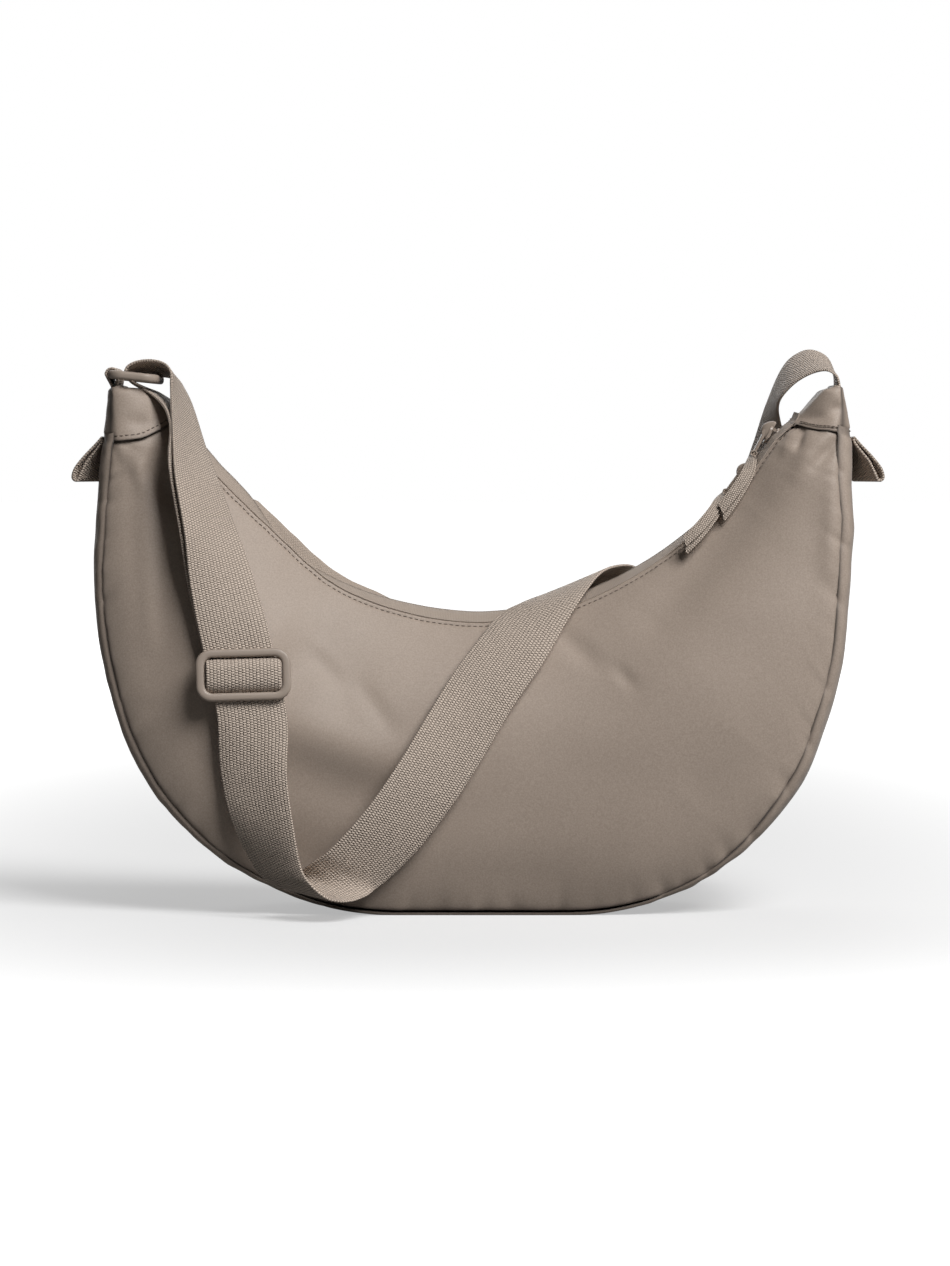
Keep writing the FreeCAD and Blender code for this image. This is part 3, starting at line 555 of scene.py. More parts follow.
def bead(place: Matrix) -> Piece:
    """Make a round bead shaped by a matrix in millimetres, as a pattern for copies."""
    deselect()
    bpy.ops.mesh.primitive_uv_sphere_add(segments=8, ring_count=6, radius=0.5)
    pattern = bpy.context.object
    pattern.data.transform(Matrix.Scale(MILLIMETRE, 4) @ place)
    return pattern


def block(name: str, size: Sequence[float], place: Matrix, edge: float, segments: int = 3) -> Piece:
    """Make a block with rounded edges.

    Args:
        name: The piece's name.
        size: Its length, width and height in millimetres.
        place: Where it sits, in millimetres.
        edge: Width of its rounded edges in millimetres.
        segments: Steps round each edge.

    Returns:
        The block at the origin.
    """
    deselect()
    bpy.ops.mesh.primitive_cube_add(size=1.0)
    piece = bpy.context.object
    piece.name = piece.data.name = name
    piece.data.transform(Matrix.Scale(MILLIMETRE, 4) @ place @ Matrix.Diagonal((*size, 1.0)))
    bevel = piece.modifiers.new("edge", "BEVEL")
    bevel.width = edge * MILLIMETRE
    bevel.segments = segments
    apply_all(piece)
    shade(piece, 60.0)
    return piece


def subdivide(piece: Piece, levels: int) -> None:
    """Round a piece by subdividing it."""
    soft = piece.modifiers.new("soft", "SUBSURF")
    soft.levels = soft.render_levels = levels
    apply_all(piece)


def select_faces(piece: Piece) -> None:
    """Open a piece in edit mode with all its faces selected."""
    activate(piece)
    bpy.ops.object.mode_set(mode="EDIT")
    bpy.ops.mesh.select_all(action="SELECT")


def flip(piece: Piece) -> None:
    """Turn a sheet's faces the other way."""
    select_faces(piece)
    bpy.ops.mesh.flip_normals()
    deselect()


def face_out(piece: Piece) -> None:
    """Point a closed piece's faces outwards."""
    select_faces(piece)
    bpy.ops.mesh.normals_make_consistent(inside=False)
    deselect()


def hand_over(piece: Piece, material: Material, slot: Slot, body: str = "bag",
              nodes: Sequence[str] = ()) -> None:
    """Dress a piece, let it ride on a body and stand for CAD nodes.

    Args:
        piece: The finished piece.
        material: Its finish.
        slot: The record's slot that the finish belongs to; not used.
        body: The body that carries it, or an empty text to leave it unattached.
        nodes: The CAD nodes that it stands for.
    """
    piece.data.materials.clear()
    piece.data.materials.append(material)
    if body:
        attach(piece, body)
    if nodes:
        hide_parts(*nodes)
    LOG.info("%s: %d faces", piece.name, len(piece.data.polygons))


class NodeBoard:
    """Places and links shader nodes in one tree."""

    def __init__(self, tree: NodeTree) -> None:
        """Work in a tree."""
        self.tree = tree

    def add(self, kind: str, **values: object) -> Node:
        """Add a node and set its own settings."""
        node = self.tree.nodes.new(kind)
        for name, value in values.items():
            setattr(node, name, value)
        return node

    def feed(self, node: Node, inputs: Dict[object, object]) -> Node:
        """Link or set a node's inputs by their names or numbers and return the node."""
        for name, value in inputs.items():
            if isinstance(value, Socket):
                self.tree.links.new(value, node.inputs[name])
            else:
                node.inputs[name].default_value = value
        return node

    def math(self, operation: str, first: object, second: object = None) -> Socket:
        """Add a math node on sockets or numbers and return its output."""
        node = self.add("ShaderNodeMath", operation=operation)
        self.feed(node, {0: first} if second is None else {0: first, 1: second})
        return node.outputs[0]

    def noise(self, spot: Socket, scale: object, detail: float = 2.0, roughness: float = 0.5) -> Socket:
        """Add a noise texture, its scale perhaps a socket, and return its factor."""
        node = self.add("ShaderNodeTexNoise")
        self.feed(node, {"Vector": spot, "Scale": scale, "Detail": detail, "Roughness": roughness})
        return node.outputs["Fac"]

    def blend(self, factor: Socket, first: object, second: Colour) -> Socket:
        """Mix two colours, the first perhaps a socket, by a factor and return the colour."""
        start = first if isinstance(first, Socket) else (*first, 1.0)
        node = self.add("ShaderNodeMix", data_type="RGBA")
        self.feed(node, {"Factor": factor, "A": start, "B": (*second, 1.0)})
        return node.outputs["Result"]

    def bump(self, height: Socket, depth: float, strength: float) -> Socket:
        """Add a relief of a depth in millimetres and return its normal."""
        node = self.add("ShaderNodeBump")
        self.feed(node, {"Strength": strength, "Distance": depth * MILLIMETRE, "Height": height})
        return node.outputs["Normal"]


def start_group(name: str, inputs: Sequence[str], outputs: Sequence[str]) -> Tuple[NodeBoard, Node, Node]:
    """Make an empty shader group with named sockets.

    Args:
        name: The group's name.
        inputs: Names of its inputs; Vector is a vector and the rest are numbers.
        outputs: Names of its number outputs.

    Returns:
        The group's board, its input node and its output node.
    """
    tree = bpy.data.node_groups.new(name, "ShaderNodeTree")
    for label in inputs:
        kind = "NodeSocketVector" if label == "Vector" else "NodeSocketFloat"
        tree.interface.new_socket(label, in_out="INPUT", socket_type=kind)
    for label in outputs:
        tree.interface.new_socket(label, in_out="OUTPUT", socket_type="NodeSocketFloat")
    board = NodeBoard(tree)
    return board, board.add("NodeGroupInput"), board.add("NodeGroupOutput")


@functools.lru_cache(maxsize=None)
def cloth_grain() -> NodeTree:
    """Shader group with the fine uneven grain and the slow tone of satin cloth."""
    board, source, sink = start_group("cloth_grain", ["Vector", "Fine", "Slow"], ["Grain", "Tone"])
    spot = source.outputs["Vector"]
    board.feed(sink, {"Grain": board.noise(spot, source.outputs["Fine"], 3.0, 0.65),
                      "Tone": board.noise(spot, source.outputs["Slow"])})
    return board.tree


@functools.lru_cache(maxsize=None)
def dash_weave() -> NodeTree:
    """Shader group with columns of short raised dashes, every other column set half a dash along, and a factor
    for painted shade in the gaps.
    """
    board, source, sink = start_group("dash_weave", ["Vector", "Column", "Dash"], ["Height", "GapShade"])
    split = board.feed(board.add("ShaderNodeSeparateXYZ"), {0: source.outputs["Vector"]})
    column = board.math("DIVIDE", split.outputs["X"], source.outputs["Column"])
    odd = board.math("MODULO", board.math("FLOOR", column), 2.0)
    dash = board.math("DIVIDE", split.outputs["Y"], source.outputs["Dash"])
    shifted = board.math("ADD", dash, board.math("MULTIPLY", odd, 0.5))
    heights = []
    for value, power in ((column, 4.0), (shifted, 2.0)):
        centred = board.math("SUBTRACT", board.math("MULTIPLY", board.math("FRACT", value), 2.0), 1.0)
        hollow = board.math("POWER", board.math("ABSOLUTE", centred), power)
        heights.append(board.math("SUBTRACT", 1.0, hollow))
    height = board.math("MULTIPLY", *heights)
    # GapShade falls from 1 on the dashes towards 0 in the gaps, for painted shade between the dashes.
    board.feed(sink, {"Height": height, "GapShade": board.math("POWER", height, 0.6)})
    return board.tree


@dataclass(frozen=True)
class Finish:
    """A plain finish: its name, colours and gloss."""

    name: str
    light: Colour
    dark: Colour
    roughness: float = 0.5
    specular: float = 0.4

    def base(self) -> Tuple[Material, NodeBoard, Node]:
        """Start a material and return it with its board and its shader."""
        material = bpy.data.materials.new(self.name)
        material.use_nodes = True
        board = NodeBoard(material.node_tree)
        shader = material.node_tree.nodes["Principled BSDF"]
        board.feed(shader, {"Roughness": self.roughness, "Specular IOR Level": self.specular})
        return material, board, shader


@dataclass(frozen=True)
class ClothFinish(Finish):
    """Satin cloth with a fine grain, a soft sheen and painted shade darkening its seams."""

    grain: float = 1150.0
    slow: float = 14.0
    relief_depth: float = 0.14
    sheen: float = 0.12
    # The painted seam shade's colour, as a share of the dark colour.
    seam_shade_tone: float = 0.22

    def make(self) -> Material:
        """Build the material."""
        material, board, shader = self.base()
        group = board.add("ShaderNodeGroup", node_tree=cloth_grain())
        spot = board.add("ShaderNodeTexCoord").outputs["Object"]
        board.feed(group, {"Vector": spot, "Fine": self.grain, "Slow": self.slow})
        grain = group.outputs["Grain"]
        speckle = board.math("MULTIPLY", board.math("SUBTRACT", grain, 0.5), 3.0)
        tone = board.math("ADD", board.math("MULTIPLY", group.outputs["Tone"], 0.5), speckle)
        cloth = board.blend(board.math("ADD", tone, 0.25), self.dark, self.light)
        # Painted shade: the stored seam shade mixes the colour towards hollow, the dark colour dimmed to a
        # shade colour, along the seams and tips.
        seam_shade = board.add("ShaderNodeAttribute", attribute_name="seam_shade").outputs["Fac"]
        hollow = tuple(value * self.seam_shade_tone for value in self.dark)
        gloss = board.math("ADD", board.math("MULTIPLY", grain, 0.16), self.roughness - 0.08)
        board.feed(shader, {"Base Color": board.blend(seam_shade, cloth, hollow), "Roughness": gloss,
                            "Normal": board.bump(grain, self.relief_depth, 0.35),
                            "Sheen Weight": self.sheen, "Sheen Roughness": 0.45})
        return material


@dataclass(frozen=True)
class WovenFinish(Finish):
    """Webbing or ribbon with columns of dashes along it and painted shade in the gaps between them."""

    column: float = 1.95
    dash: float = 1.4
    relief_depth: float = 0.75
    sheen: float = 0.08

    def make(self) -> Material:
        """Build the material on the piece's flat layout."""
        material, board, shader = self.base()
        group = board.add("ShaderNodeGroup", node_tree=dash_weave())
        spot = board.add("ShaderNodeTexCoord")
        board.feed(group, {"Vector": spot.outputs["UV"], "Column": self.column * MILLIMETRE,
                           "Dash": self.dash * MILLIMETRE})
        grain = board.math("MULTIPLY", board.noise(spot.outputs["Object"], 900.0), 0.25)
        # Painted shade: the colour goes to the dark one in the gaps between dashes, with a little random grain.
        mixed = board.math("ADD", board.math("MULTIPLY", group.outputs["GapShade"], 0.85), grain)
        board.feed(shader, {"Base Color": board.blend(mixed, self.dark, self.light),
                            "Normal": board.bump(group.outputs["Height"], self.relief_depth, 0.8),
                            "Sheen Weight": self.sheen, "Sheen Roughness": 0.5})
        return material


@dataclass(frozen=True)
class MouldedFinish(Finish):
    """Matt moulded plastic or paint with a faint texture."""

    texture: float = 2600.0
    cloud: float = 60.0
    relief_depth: float = 0.05

    def make(self) -> Material:
        """Build the material."""
        material, board, shader = self.base()
        spot = board.add("ShaderNodeTexCoord").outputs["Object"]
        grain = board.noise(spot, self.texture, 3.0)
        cloud = board.math("MULTIPLY", board.noise(spot, self.cloud), 0.6)
        mixed = board.math("ADD", board.math("MULTIPLY", grain, 0.4), cloud)
        gloss = board.math("ADD", board.math("MULTIPLY", grain, 0.12), self.roughness - 0.06)
        board.feed(shader, {"Base Color": board.blend(mixed, self.dark, self.light), "Roughness": gloss,
                            "Normal": board.bump(grain, self.relief_depth, 0.3)})
        return material


class Wardrobe:
    """All finishes of the bag."""

    def __init__(self) -> None:
        """Build each material once."""
        self.shell = ClothFinish("satin_nylon", (0.392, 0.318, 0.262), (0.312, 0.25, 0.204),
                                 0.54, 0.34).make()
        self.lining = ClothFinish("lining_cloth", (0.30, 0.245, 0.2), (0.25, 0.2, 0.165), 0.6, 0.3).make()
        # A woven finish's dark colour is the painted shade in the gaps between its dashes.
        self.tape = WovenFinish("zip_tape_weave", (0.42, 0.345, 0.285), (0.29, 0.235, 0.192), 0.65, 0.3,
                                0.9, 0.7, 0.2).make()
        self.webbing = WovenFinish("strap_webbing", (0.62, 0.514, 0.428), (0.165, 0.132, 0.107),
                                   0.6, 0.35).make()
        self.ribbon = WovenFinish("puller_ribbon", (0.53, 0.440, 0.366), (0.15, 0.120, 0.097), 0.6, 0.3,
                                  1.3, 1.2, 0.45).make()
        self.coil = MouldedFinish("zip_coil", (0.27, 0.22, 0.18), (0.2, 0.16, 0.13), 0.45, 0.45).make()
        self.buckle = MouldedFinish("moulded_buckle", (0.345, 0.282, 0.233), (0.305, 0.248, 0.204),
                                    0.45, 0.42).make()
        self.metal = MouldedFinish("painted_slider", (0.33, 0.268, 0.22), (0.28, 0.225, 0.184),
                                   0.36, 0.48).make()
        self.thread = ClothFinish("seam_thread", (0.20, 0.158, 0.128), (0.12, 0.095, 0.078), 0.6, 0.3).make()


# Turn of each tip seam: shares of the way from the rim to the gusset, degrees about the rim's centre.
TIP_BEND_LEFT = [(0.0, -1.2), (0.28, -1.8), (0.59, -2.0), (0.9, -0.9), (1.0, -0.4), (1.15, 0.3)]
TIP_BEND_RIGHT = [(0.0, -1.1), (0.4, -0.8), (0.6, -0.5), (0.8, 0.1), (1.0, 0.4), (1.15, 0.5)]


class Scatter(enum.Enum):
    """Which scatter of creases and waves a piece of cloth takes."""

    FRONT = 1.5
    BACK = 21.5
    GUSSET_FRONT = 40.0
    GUSSET_BACK = 44.0


class Gathers:
    """Short uneven creases that run in from a seam."""

    depth: ClassVar[float] = 45.0
    neighbours: ClassVar[float] = 22.0

    def __init__(self, seed: int, span: float = 1200.0, pitch: float = 9.0) -> None:
        """Scatter the creases.

        Args:
            seed: Which scatter to take.
            span: How far along the seam the creases lie, on both sides of its middle.
            pitch: Their mean distance.
        """
        dice = random.Random(seed)
        self.places, self.marks = [], []
        spot = -span
        while spot < span:
            spot += pitch * dice.uniform(0.35, 1.75)
            self.places.append(spot)
            width = dice.uniform(1.6, 3.4)
            length = dice.uniform(3.0, 11.0) * dice.uniform(0.6, 1.3)
            height = dice.choice((-1.0, -0.8, 0.7)) * dice.uniform(0.3, 1.3)
            self.marks.append((width, length, height, dice.uniform(-0.35, 0.35)))

    def lift(self, along: float, away: float) -> float:
        """How far the creases lift the cloth at a place along the seam and away from it."""
        if away > self.depth:
            return 0.0
        total = 0.0
        first = bisect.bisect(self.places, along - self.neighbours)
        last = bisect.bisect(self.places, along + self.neighbours)
        for index in range(first, last):
            width, length, height, lean = self.marks[index]
            offset = along - self.places[index] - lean * away
            total += height * bell(offset, width + 0.12 * away) * math.exp(-away / length)
        return total * smooth(0.0, 2.0, away)


FRONT_FOLDS = [
    Fold((-118, 118), (-88, 150), 15, -2.8),
    Fold((-84, 150), (-60, 112), 20, -2.6),
    Fold((-176, 225), (-178, 120), 14, -2.4),
    Fold((-184, 236), (-180, 150), 6, 1.4),
    Fold((44, 156), (66, 138), 6, -1.3),
    Fold((76, 136), (86, 126), 4, -1.0),
    Fold((100, 166), (150, 226), 13, -3.0),
    Fold((201, 264), (186, 248), 4, -2.2),
    Fold((190, 266), (176, 244), 5, 1.6),
    Fold((181, 268), (177, 258), 2, -1.5),
    Fold((176, 270), (170, 256), 3, 1.1),
    Fold((196, 244), (193, 190), 5, 1.3),
    Fold((120, 60), (150, 95), 26, -1.6),
    Fold((-20, 40), (90, 46), 24, 1.2),
    Fold((-178, 255), (-168, 226), 6, -2.4),
    Fold((-190, 256), (-186, 236), 4, 1.4),
    Fold((-112, 106), (-40, 84), 13, 2.4),
    Fold((-106, 80), (-36, 60), 16, -2.4),
    Fold((-66, 128), (-48, 104), 5, -0.9),
    Fold((-92, 146), (-74, 126), 5, -0.8),
]
BACK_FOLDS = [
    Fold((-130, 190), (-110, 120), 20, -2.2),
    Fold((60, 140), (90, 90), 22, -2.0),
    Fold((-60, 60), (40, 52), 26, 1.2),
    Fold((178, 260), (166, 228), 7, -2.0),
    Fold((-180, 262), (-170, 232), 7, -2.2),
]


@dataclass(frozen=True)
class PanelCut:
    """One big panel: its name, the CAD node that it stands for, its side, scatter and folds."""

    name: str
    node: str
    side: Side
    scatter: Scatter
    folds: Sequence[Fold]


FRONT_CUT = PanelCut("front_cloth", "front_panel", Side.FRONT, Scatter.FRONT, FRONT_FOLDS)
BACK_CUT = PanelCut("back_cloth", "back_panel", Side.BACK, Scatter.BACK, BACK_FOLDS)
CAP_DENTS = [
    Dent(2.2, (199.0, 279.0), (4.5, 4.0)),
    Dent(1.2, (188.0, 276.0), (6.0, 3.0)),
    Dent(1.2, (-188.0, 276.0), (6.0, 3.0)),
]
# How a tip cap closes round the webbing: share drawn to its middle, millimetres up.
CAP_CLOSING = [(0.06, 0.7), (0.2, 1.2), (0.45, 1.3), (0.75, 0.7)]


@dataclass(frozen=True)
class PanelDrape:
    """How a panel's cloth stands off its even bulge, in millimetres, and how strong its painted seam shade is.
    """

    broad_wave: float = 1.7
    small_wave: float = 0.45
    seam_dip: Fade = Fade(2.6, 1.0)
    seam_slope: Fade = Fade(0.6, 5.0)
    seam_pucker: Fade = Fade(0.6, 9.0)
    left_gather: float = 0.75
    right_gather: float = 1.15
    pinch_span: float = 40.0
    pull: Fade = Fade(1.3, 6.0)
    pull_width: float = 1.3
    pull_spread: float = 0.22
    swell: Fade = Fade(0.15, 8.0)
    swell_width: float = 7.0
    belly: float = 1.6
    belly_share: float = 0.42
    belly_length: float = 165.0
    rim_dip: Fade = Fade(1.0, 0.6)
    rim_pucker: Fade = Fade(0.35, 7.0)
    stitch_dip: float = 0.5
    tip_dip: Fade = Fade(1.6, 1.5)
    tip_pucker: Fade = Fade(0.8, 9.0)
    tip_gather: float = 1.3
    right_tip_shift: float = 600.0
    left_tip_shift: float = 800.0
    # Painted seam shade in the colour: its strength by the gusset seam and by a tip seam, fading over
    # millimetres.
    seam_shadow: Fade = Fade(1.6, 0.8)
    tip_shadow: Fade = Fade(0.9, 0.8)


@dataclass(frozen=True)
class GussetDrape:
    """How the gusset's cloth falls in from its crown, in millimetres; its tip dip fades in radians; and how
    strong its painted seam shade is.
    """

    seam_dip: Fade = Fade(0.5, 0.9)
    seam_slope: Fade = Fade(0.3, 3.5)
    pucker: Fade = Fade(1.0, 8.0)
    gather: float = 0.8
    gather_depth: float = 0.9
    wave_depth: float = 0.8
    pinch_span: float = 30.0
    sink: Fade = Fade(2.0, 3.2)
    sink_width: float = 1.8
    sink_spread: float = 0.35
    pull: Fade = Fade(0.6, 6.0)
    pull_width: float = 2.0
    pull_spread: float = 0.2
    tip_dip: Fade = Fade(1.2, 1.0 / 150.0)
    # Painted seam shade in the colour: its strength fading over the share of the crown from each seam, and by a
    # tip seam over millimetres.
    crown_shadow: Fade = Fade(1.6, 1.0 / 8.5)
    tip_shadow: Fade = Fade(0.45, 0.8)
    tip_reach: float = 220.0


def pucker(along: float, seed: float) -> float:
    """Uneven soft gathers along a seam, between about -1 and 1."""
    coarse = noise.noise(Vector((along / 19.0, seed, 0.0)))
    fine = noise.noise(Vector((along / 8.5, seed, 7.0)))
    return 1.1 * coarse + 0.6 * fine


def edgewards(share: float) -> float:
    """Crowd shares towards both edges, where the cloth turns sharply."""
    return share - 0.88 * math.sin(2 * math.pi * share) / (2 * math.pi)


def seamwards(share: float) -> float:
    """Crowd shares hard against both seams of the gusset."""
    side = 2.0 * share - 1.0
    return 0.5 + 0.5 * math.copysign(1.0 - (1.0 - abs(side)) ** 3, side)


def crown_share(side: float) -> float:
    """Share of the gusset's rise at a place across it, from -1 to 1."""
    return max(0.0, 1.0 - abs(side) ** 2.2) ** 0.27


def mirrored(points: Sequence[Vector]) -> List[Vector]:
    """The same points on the back of the bag, in the opposite order."""
    return [Vector((point.x, -point.y, point.z)) for point in reversed(points)]


def soften(ring: Sequence[Vector]) -> List[Vector]:
    """Round a ring's corners a little."""
    count = len(ring)
    return [ring[index] * 0.6 + (ring[index - 1] + ring[(index + 1) % count]) * 0.2 for index in range(count)]


@dataclass
class Shell:
    """Front and back panels, gusset, tip caps, linings and their stitches."""

    form: BagForm
    wardrobe: Wardrobe
    drape: PanelDrape = PanelDrape()
    fall: GussetDrape = GussetDrape()
    cloth: float = 1.2
    columns: int = 420
    rows: int = 104
    gusset_rows: int = 60
    panel_span: Pair = (480.0, 175.0)
    gusset_span: Pair = (760.0, 94.0)
    seam_turn: float = 1.9
    seam_allowance: float = 3.0
    seam_reach: float = 300.0
    bend_span: float = 0.16
    wall_points: int = 9
    panel_points: int = 20
    gusset_points: int = 11
    cap_rings: int = 22
    cap_lift: float = 0.7
    cap_settle: float = 0.5
    cap_seam: Fade = Fade(1.8, 2.2)
    cap_mouth: float = 2.2
    lining_cloth: float = 0.6
    lining_gap: float = 0.9
    lining_set: float = 3.0
    gusset_lining_set: float = 2.0
    gusset_lining_margin: float = 9.0
    pocket_set: float = 5.0
    pocket_turn: float = 0.277
    pocket_rows: Pair = (40.0, 130.0)
    stitch_line: float = 3.2
    stitch_rise: float = 0.12
    stitch_pitch: float = 3.2
    stitch_length: float = 2.3
    stitch_width: float = 0.75
    rim_length: float = 430.0
    tip_seam_length: float = 118.0

    def __post_init__(self) -> None:
        """Scatter the creases and lay out the panels' sections."""
        self.gathers = {scatter: Gathers(int(scatter.value)) for scatter in Scatter}
        self.sections = [PanelSection.cloth(self.form, self.angle(index / self.columns))
                         for index in range(self.columns + 1)]

    def build(self) -> None:
        """Build and dress every cloth piece."""
        self.panel(FRONT_CUT)
        self.panel(BACK_CUT)
        self.gusset()
        self.cap("right_tip", Hand.RIGHT)
        self.cap("left_tip", Hand.LEFT)
        self.lining()
        self.stitches()

    def angle(self, share: float) -> float:
        """Angle about the rim's centre at a share along the panel."""
        end = self.form.seam_angle + self.seam_allowance / self.form.rim_radius
        return lerp(-end, end, share)

    def to_tip_seam(self, angle: float, reach: float) -> float:
        """Distance to the nearer tip seam at an angle and a reach about the rim's centre."""
        return max(0.0, self.form.seam_angle - abs(angle)) * reach

    def bend_ease(self, angle: float) -> float:
        """How much of a tip seam's turn the cloth takes at an angle, from 0 to 1."""
        return smooth(self.form.seam_angle - self.bend_span, self.form.seam_angle, abs(angle))

    def bent(self, spot: Vector, angle: float, share: float, ease: float) -> Vector:
        """Point turned about the rim's centre with the tip seam.

        Args:
            spot: The point before the turn.
            angle: Its angle about the rim's centre.
            share: Its share from the rim to the gusset.
            ease: How much of the turn it takes, from 0 to 1.

        Returns:
            The turned point.
        """
        if ease <= 0.0:
            return spot
        bend = math.radians(table_at(TIP_BEND_RIGHT if angle > 0 else TIP_BEND_LEFT, share))
        across, drop = spot.x, self.form.centre - spot.z
        turn = math.atan2(across, drop) + math.copysign(1.0, angle) * bend * ease
        return self.form.place(turn, math.hypot(across, drop), spot.y)

    def slack(self, spot: Vector, seed: float) -> float:
        """Broad and small waves of the loose cloth at a place."""
        broad = noise.noise(Vector((spot.x / 95.0, spot.z / 80.0, seed)))
        small = noise.noise(Vector((spot.x / 34.0, spot.z / 30.0, seed + 4.0)))
        return self.drape.broad_wave * broad + self.drape.small_wave * small

    def by_gusset_seam(self, angle: float, to_seam: float, scatter: Scatter) -> float:
        """Lift of a panel by its gusset seam: the dip, the gathers and the pinches."""
        drape, along = self.drape, angle * self.seam_reach
        total = drape.seam_pucker.at(to_seam) * pucker(along, scatter.value) * smooth(0.0, 3.0, to_seam)
        gather = lerp(drape.left_gather, drape.right_gather, smooth(0.2, 0.7, angle))
        total += gather * self.gathers[scatter].lift(along, to_seam)
        total -= drape.seam_dip.at(to_seam) + drape.seam_slope.at(to_seam)
        if to_seam < drape.pinch_span:
            pull = drape.pull.at(to_seam) * pinch(angle, drape.pull_width + drape.pull_spread * to_seam)
            swell = drape.swell.at(to_seam) * pinch(angle, drape.swell_width)
            total += (swell - pull) * smooth(0.0, 2.0, to_seam)
        return total

    def by_rim(self, section: PanelSection, distance: float, seed: float) -> float:
        """Lift of a panel by its folded rim, with the belly that swells below it."""
        drape, along = self.drape, section.angle * self.seam_reach
        total = drape.rim_pucker.at(distance) * pucker(along * 1.3, seed + 9.0) * smooth(0.0, 3.0, distance)
        total -= drape.rim_dip.at(distance) + drape.stitch_dip * bell(distance - self.stitch_line, 1.0)
        belly = drape.belly * (section.length / drape.belly_length) ** 2
        return total + belly * bell(distance / section.length - drape.belly_share, 0.2)

    def by_tip_seam(self, angle: float, distance: float, scatter: Scatter) -> float:
        """Lift of a panel by the seam of its nearer tip."""
        drape = self.drape
        to_end = self.to_tip_seam(angle, self.form.rim_radius + distance)
        along = distance + (drape.right_tip_shift if angle > 0 else drape.left_tip_shift)
        total = drape.tip_gather * self.gathers[scatter].lift(along, to_end) - drape.tip_dip.at(to_end)
        return total + drape.tip_pucker.at(to_end) * pucker(distance * 1.2, scatter.value + 3.0)

    def cloth_point(self, section: PanelSection, distance: float, cut: PanelCut, rise: float = 0.0) -> Vector:
        """Point of a panel's cloth with its folds, waves and gathers.

        Args:
            section: The panel's section.
            distance: Distance along the section from the rim.
            cut: Which panel.
            rise: How far above the cloth the point lies.

        Returns:
            The point in millimetres.
        """
        spot = section.point(distance, 0.0, cut.side)
        to_seam = section.length - distance
        inner = smooth(0.0, 25.0, to_seam) * smooth(0.0, 18.0, distance)
        lift = rise + sum(fold.lift(spot.x, spot.z) for fold in cut.folds)
        lift += self.slack(spot, cut.scatter.value) * inner
        lift += self.by_gusset_seam(section.angle, to_seam, cut.scatter)
        lift += self.by_rim(section, distance, cut.scatter.value)
        lift += self.by_tip_seam(section.angle, distance, cut.scatter)
        return section.point(distance, lift, cut.side)

    def panel(self, cut: PanelCut) -> None:
        """Build one big panel with its folds, gathers and rounded edges."""

        def spot(along: float, across: float) -> Tuple[PanelSection, float]:
            """Section and distance from the rim for shares along and across."""
            section = self.sections[round(along * self.columns)]
            return section, edgewards(across) * section.length

        def place(along: float, across: float) -> Vector:
            """Point of the cloth for shares along and across."""
            section, distance = spot(along, across)
            point = self.cloth_point(section, distance, cut)
            return self.bent(point, section.angle, distance / section.length, self.bend_ease(section.angle))

        def seam_shade(along: float, across: float) -> float:
            """Painted seam shade for shares along and across, strongest by the gusset seam and the tip seams.
            """
            section, distance = spot(along, across)
            to_end = self.to_tip_seam(section.angle, self.form.rim_radius + distance)
            return min(1.0, max(self.drape.seam_shadow.at(section.length - distance),
                                self.drape.tip_shadow.at(to_end)))

        piece = grid(cut.name, self.columns, self.rows, place, self.panel_span, seam_shade)
        if cut.side is Side.FRONT:
            flip(piece)
        thicken(piece, self.cloth)
        shade(piece, 60.0)
        hand_over(piece, self.wardrobe.shell, Slot.SHELL, nodes=[cut.node])

    def gusset_slack(self, angle: float, side: float, to_seam: float) -> float:
        """How far the gusset's waves and gathers let it fall inwards."""
        fall, along = self.fall, angle * self.seam_reach
        scatter = Scatter.GUSSET_FRONT if side < 0 else Scatter.GUSSET_BACK
        gather = fall.pucker.at(to_seam) * pucker(along, scatter.value) * smooth(0.0, 4.0, to_seam)
        gather += fall.gather * self.gathers[scatter].lift(along, to_seam)
        wave = noise.noise(Vector((along / 42.0, side * 1.4, 50.0)))
        return (1.0 - wave) * fall.wave_depth - fall.gather_depth * gather

    def gusset_point(self, angle: float, share: float) -> Vector:
        """Point of the gusset at an angle and a share from the front seam to the back seam."""
        form, fall = self.form, self.fall
        reach, depth = form.seam_at(angle)
        outline = form.outline_at(angle)
        side = 2.0 * share - 1.0
        crown = crown_share(side) * (outline - reach)
        to_seam = (1.0 - abs(side)) * depth
        off_floor = smooth(1.0, 14.0, form.centre - outline * math.cos(angle))
        inward = fall.seam_dip.at(to_seam) + fall.seam_slope.at(to_seam)
        inward += self.gusset_slack(angle, side, to_seam)
        sink = 0.0
        if to_seam < fall.pinch_span:
            sink = off_floor * fall.sink.at(crown) * pinch(angle, fall.sink_width + fall.sink_spread * crown)
            inward += fall.pull.at(to_seam) * pinch(angle, fall.pull_width + fall.pull_spread * to_seam)
        inward *= off_floor
        if abs(angle) < form.seam_angle + 0.017:
            inward += fall.tip_dip.at(max(0.0, form.seam_angle - abs(angle)))
        spot = form.place(angle, reach + crown - max(inward, 0.0), side * (depth - self.seam_turn - sink))
        ease = self.bend_ease(angle) * (1.0 - smooth(form.seam_angle + 0.02, form.tip_angle, abs(angle)))
        return self.bent(spot, angle, 1.0 + 0.15 * (1.0 - abs(side)), ease)

    def gusset(self) -> None:
        """Build the gusset band round the outer arc."""

        def place(along: float, across: float) -> Vector:
            """Point of the cloth for shares along and across."""
            return self.gusset_point(self.angle(along), seamwards(across))

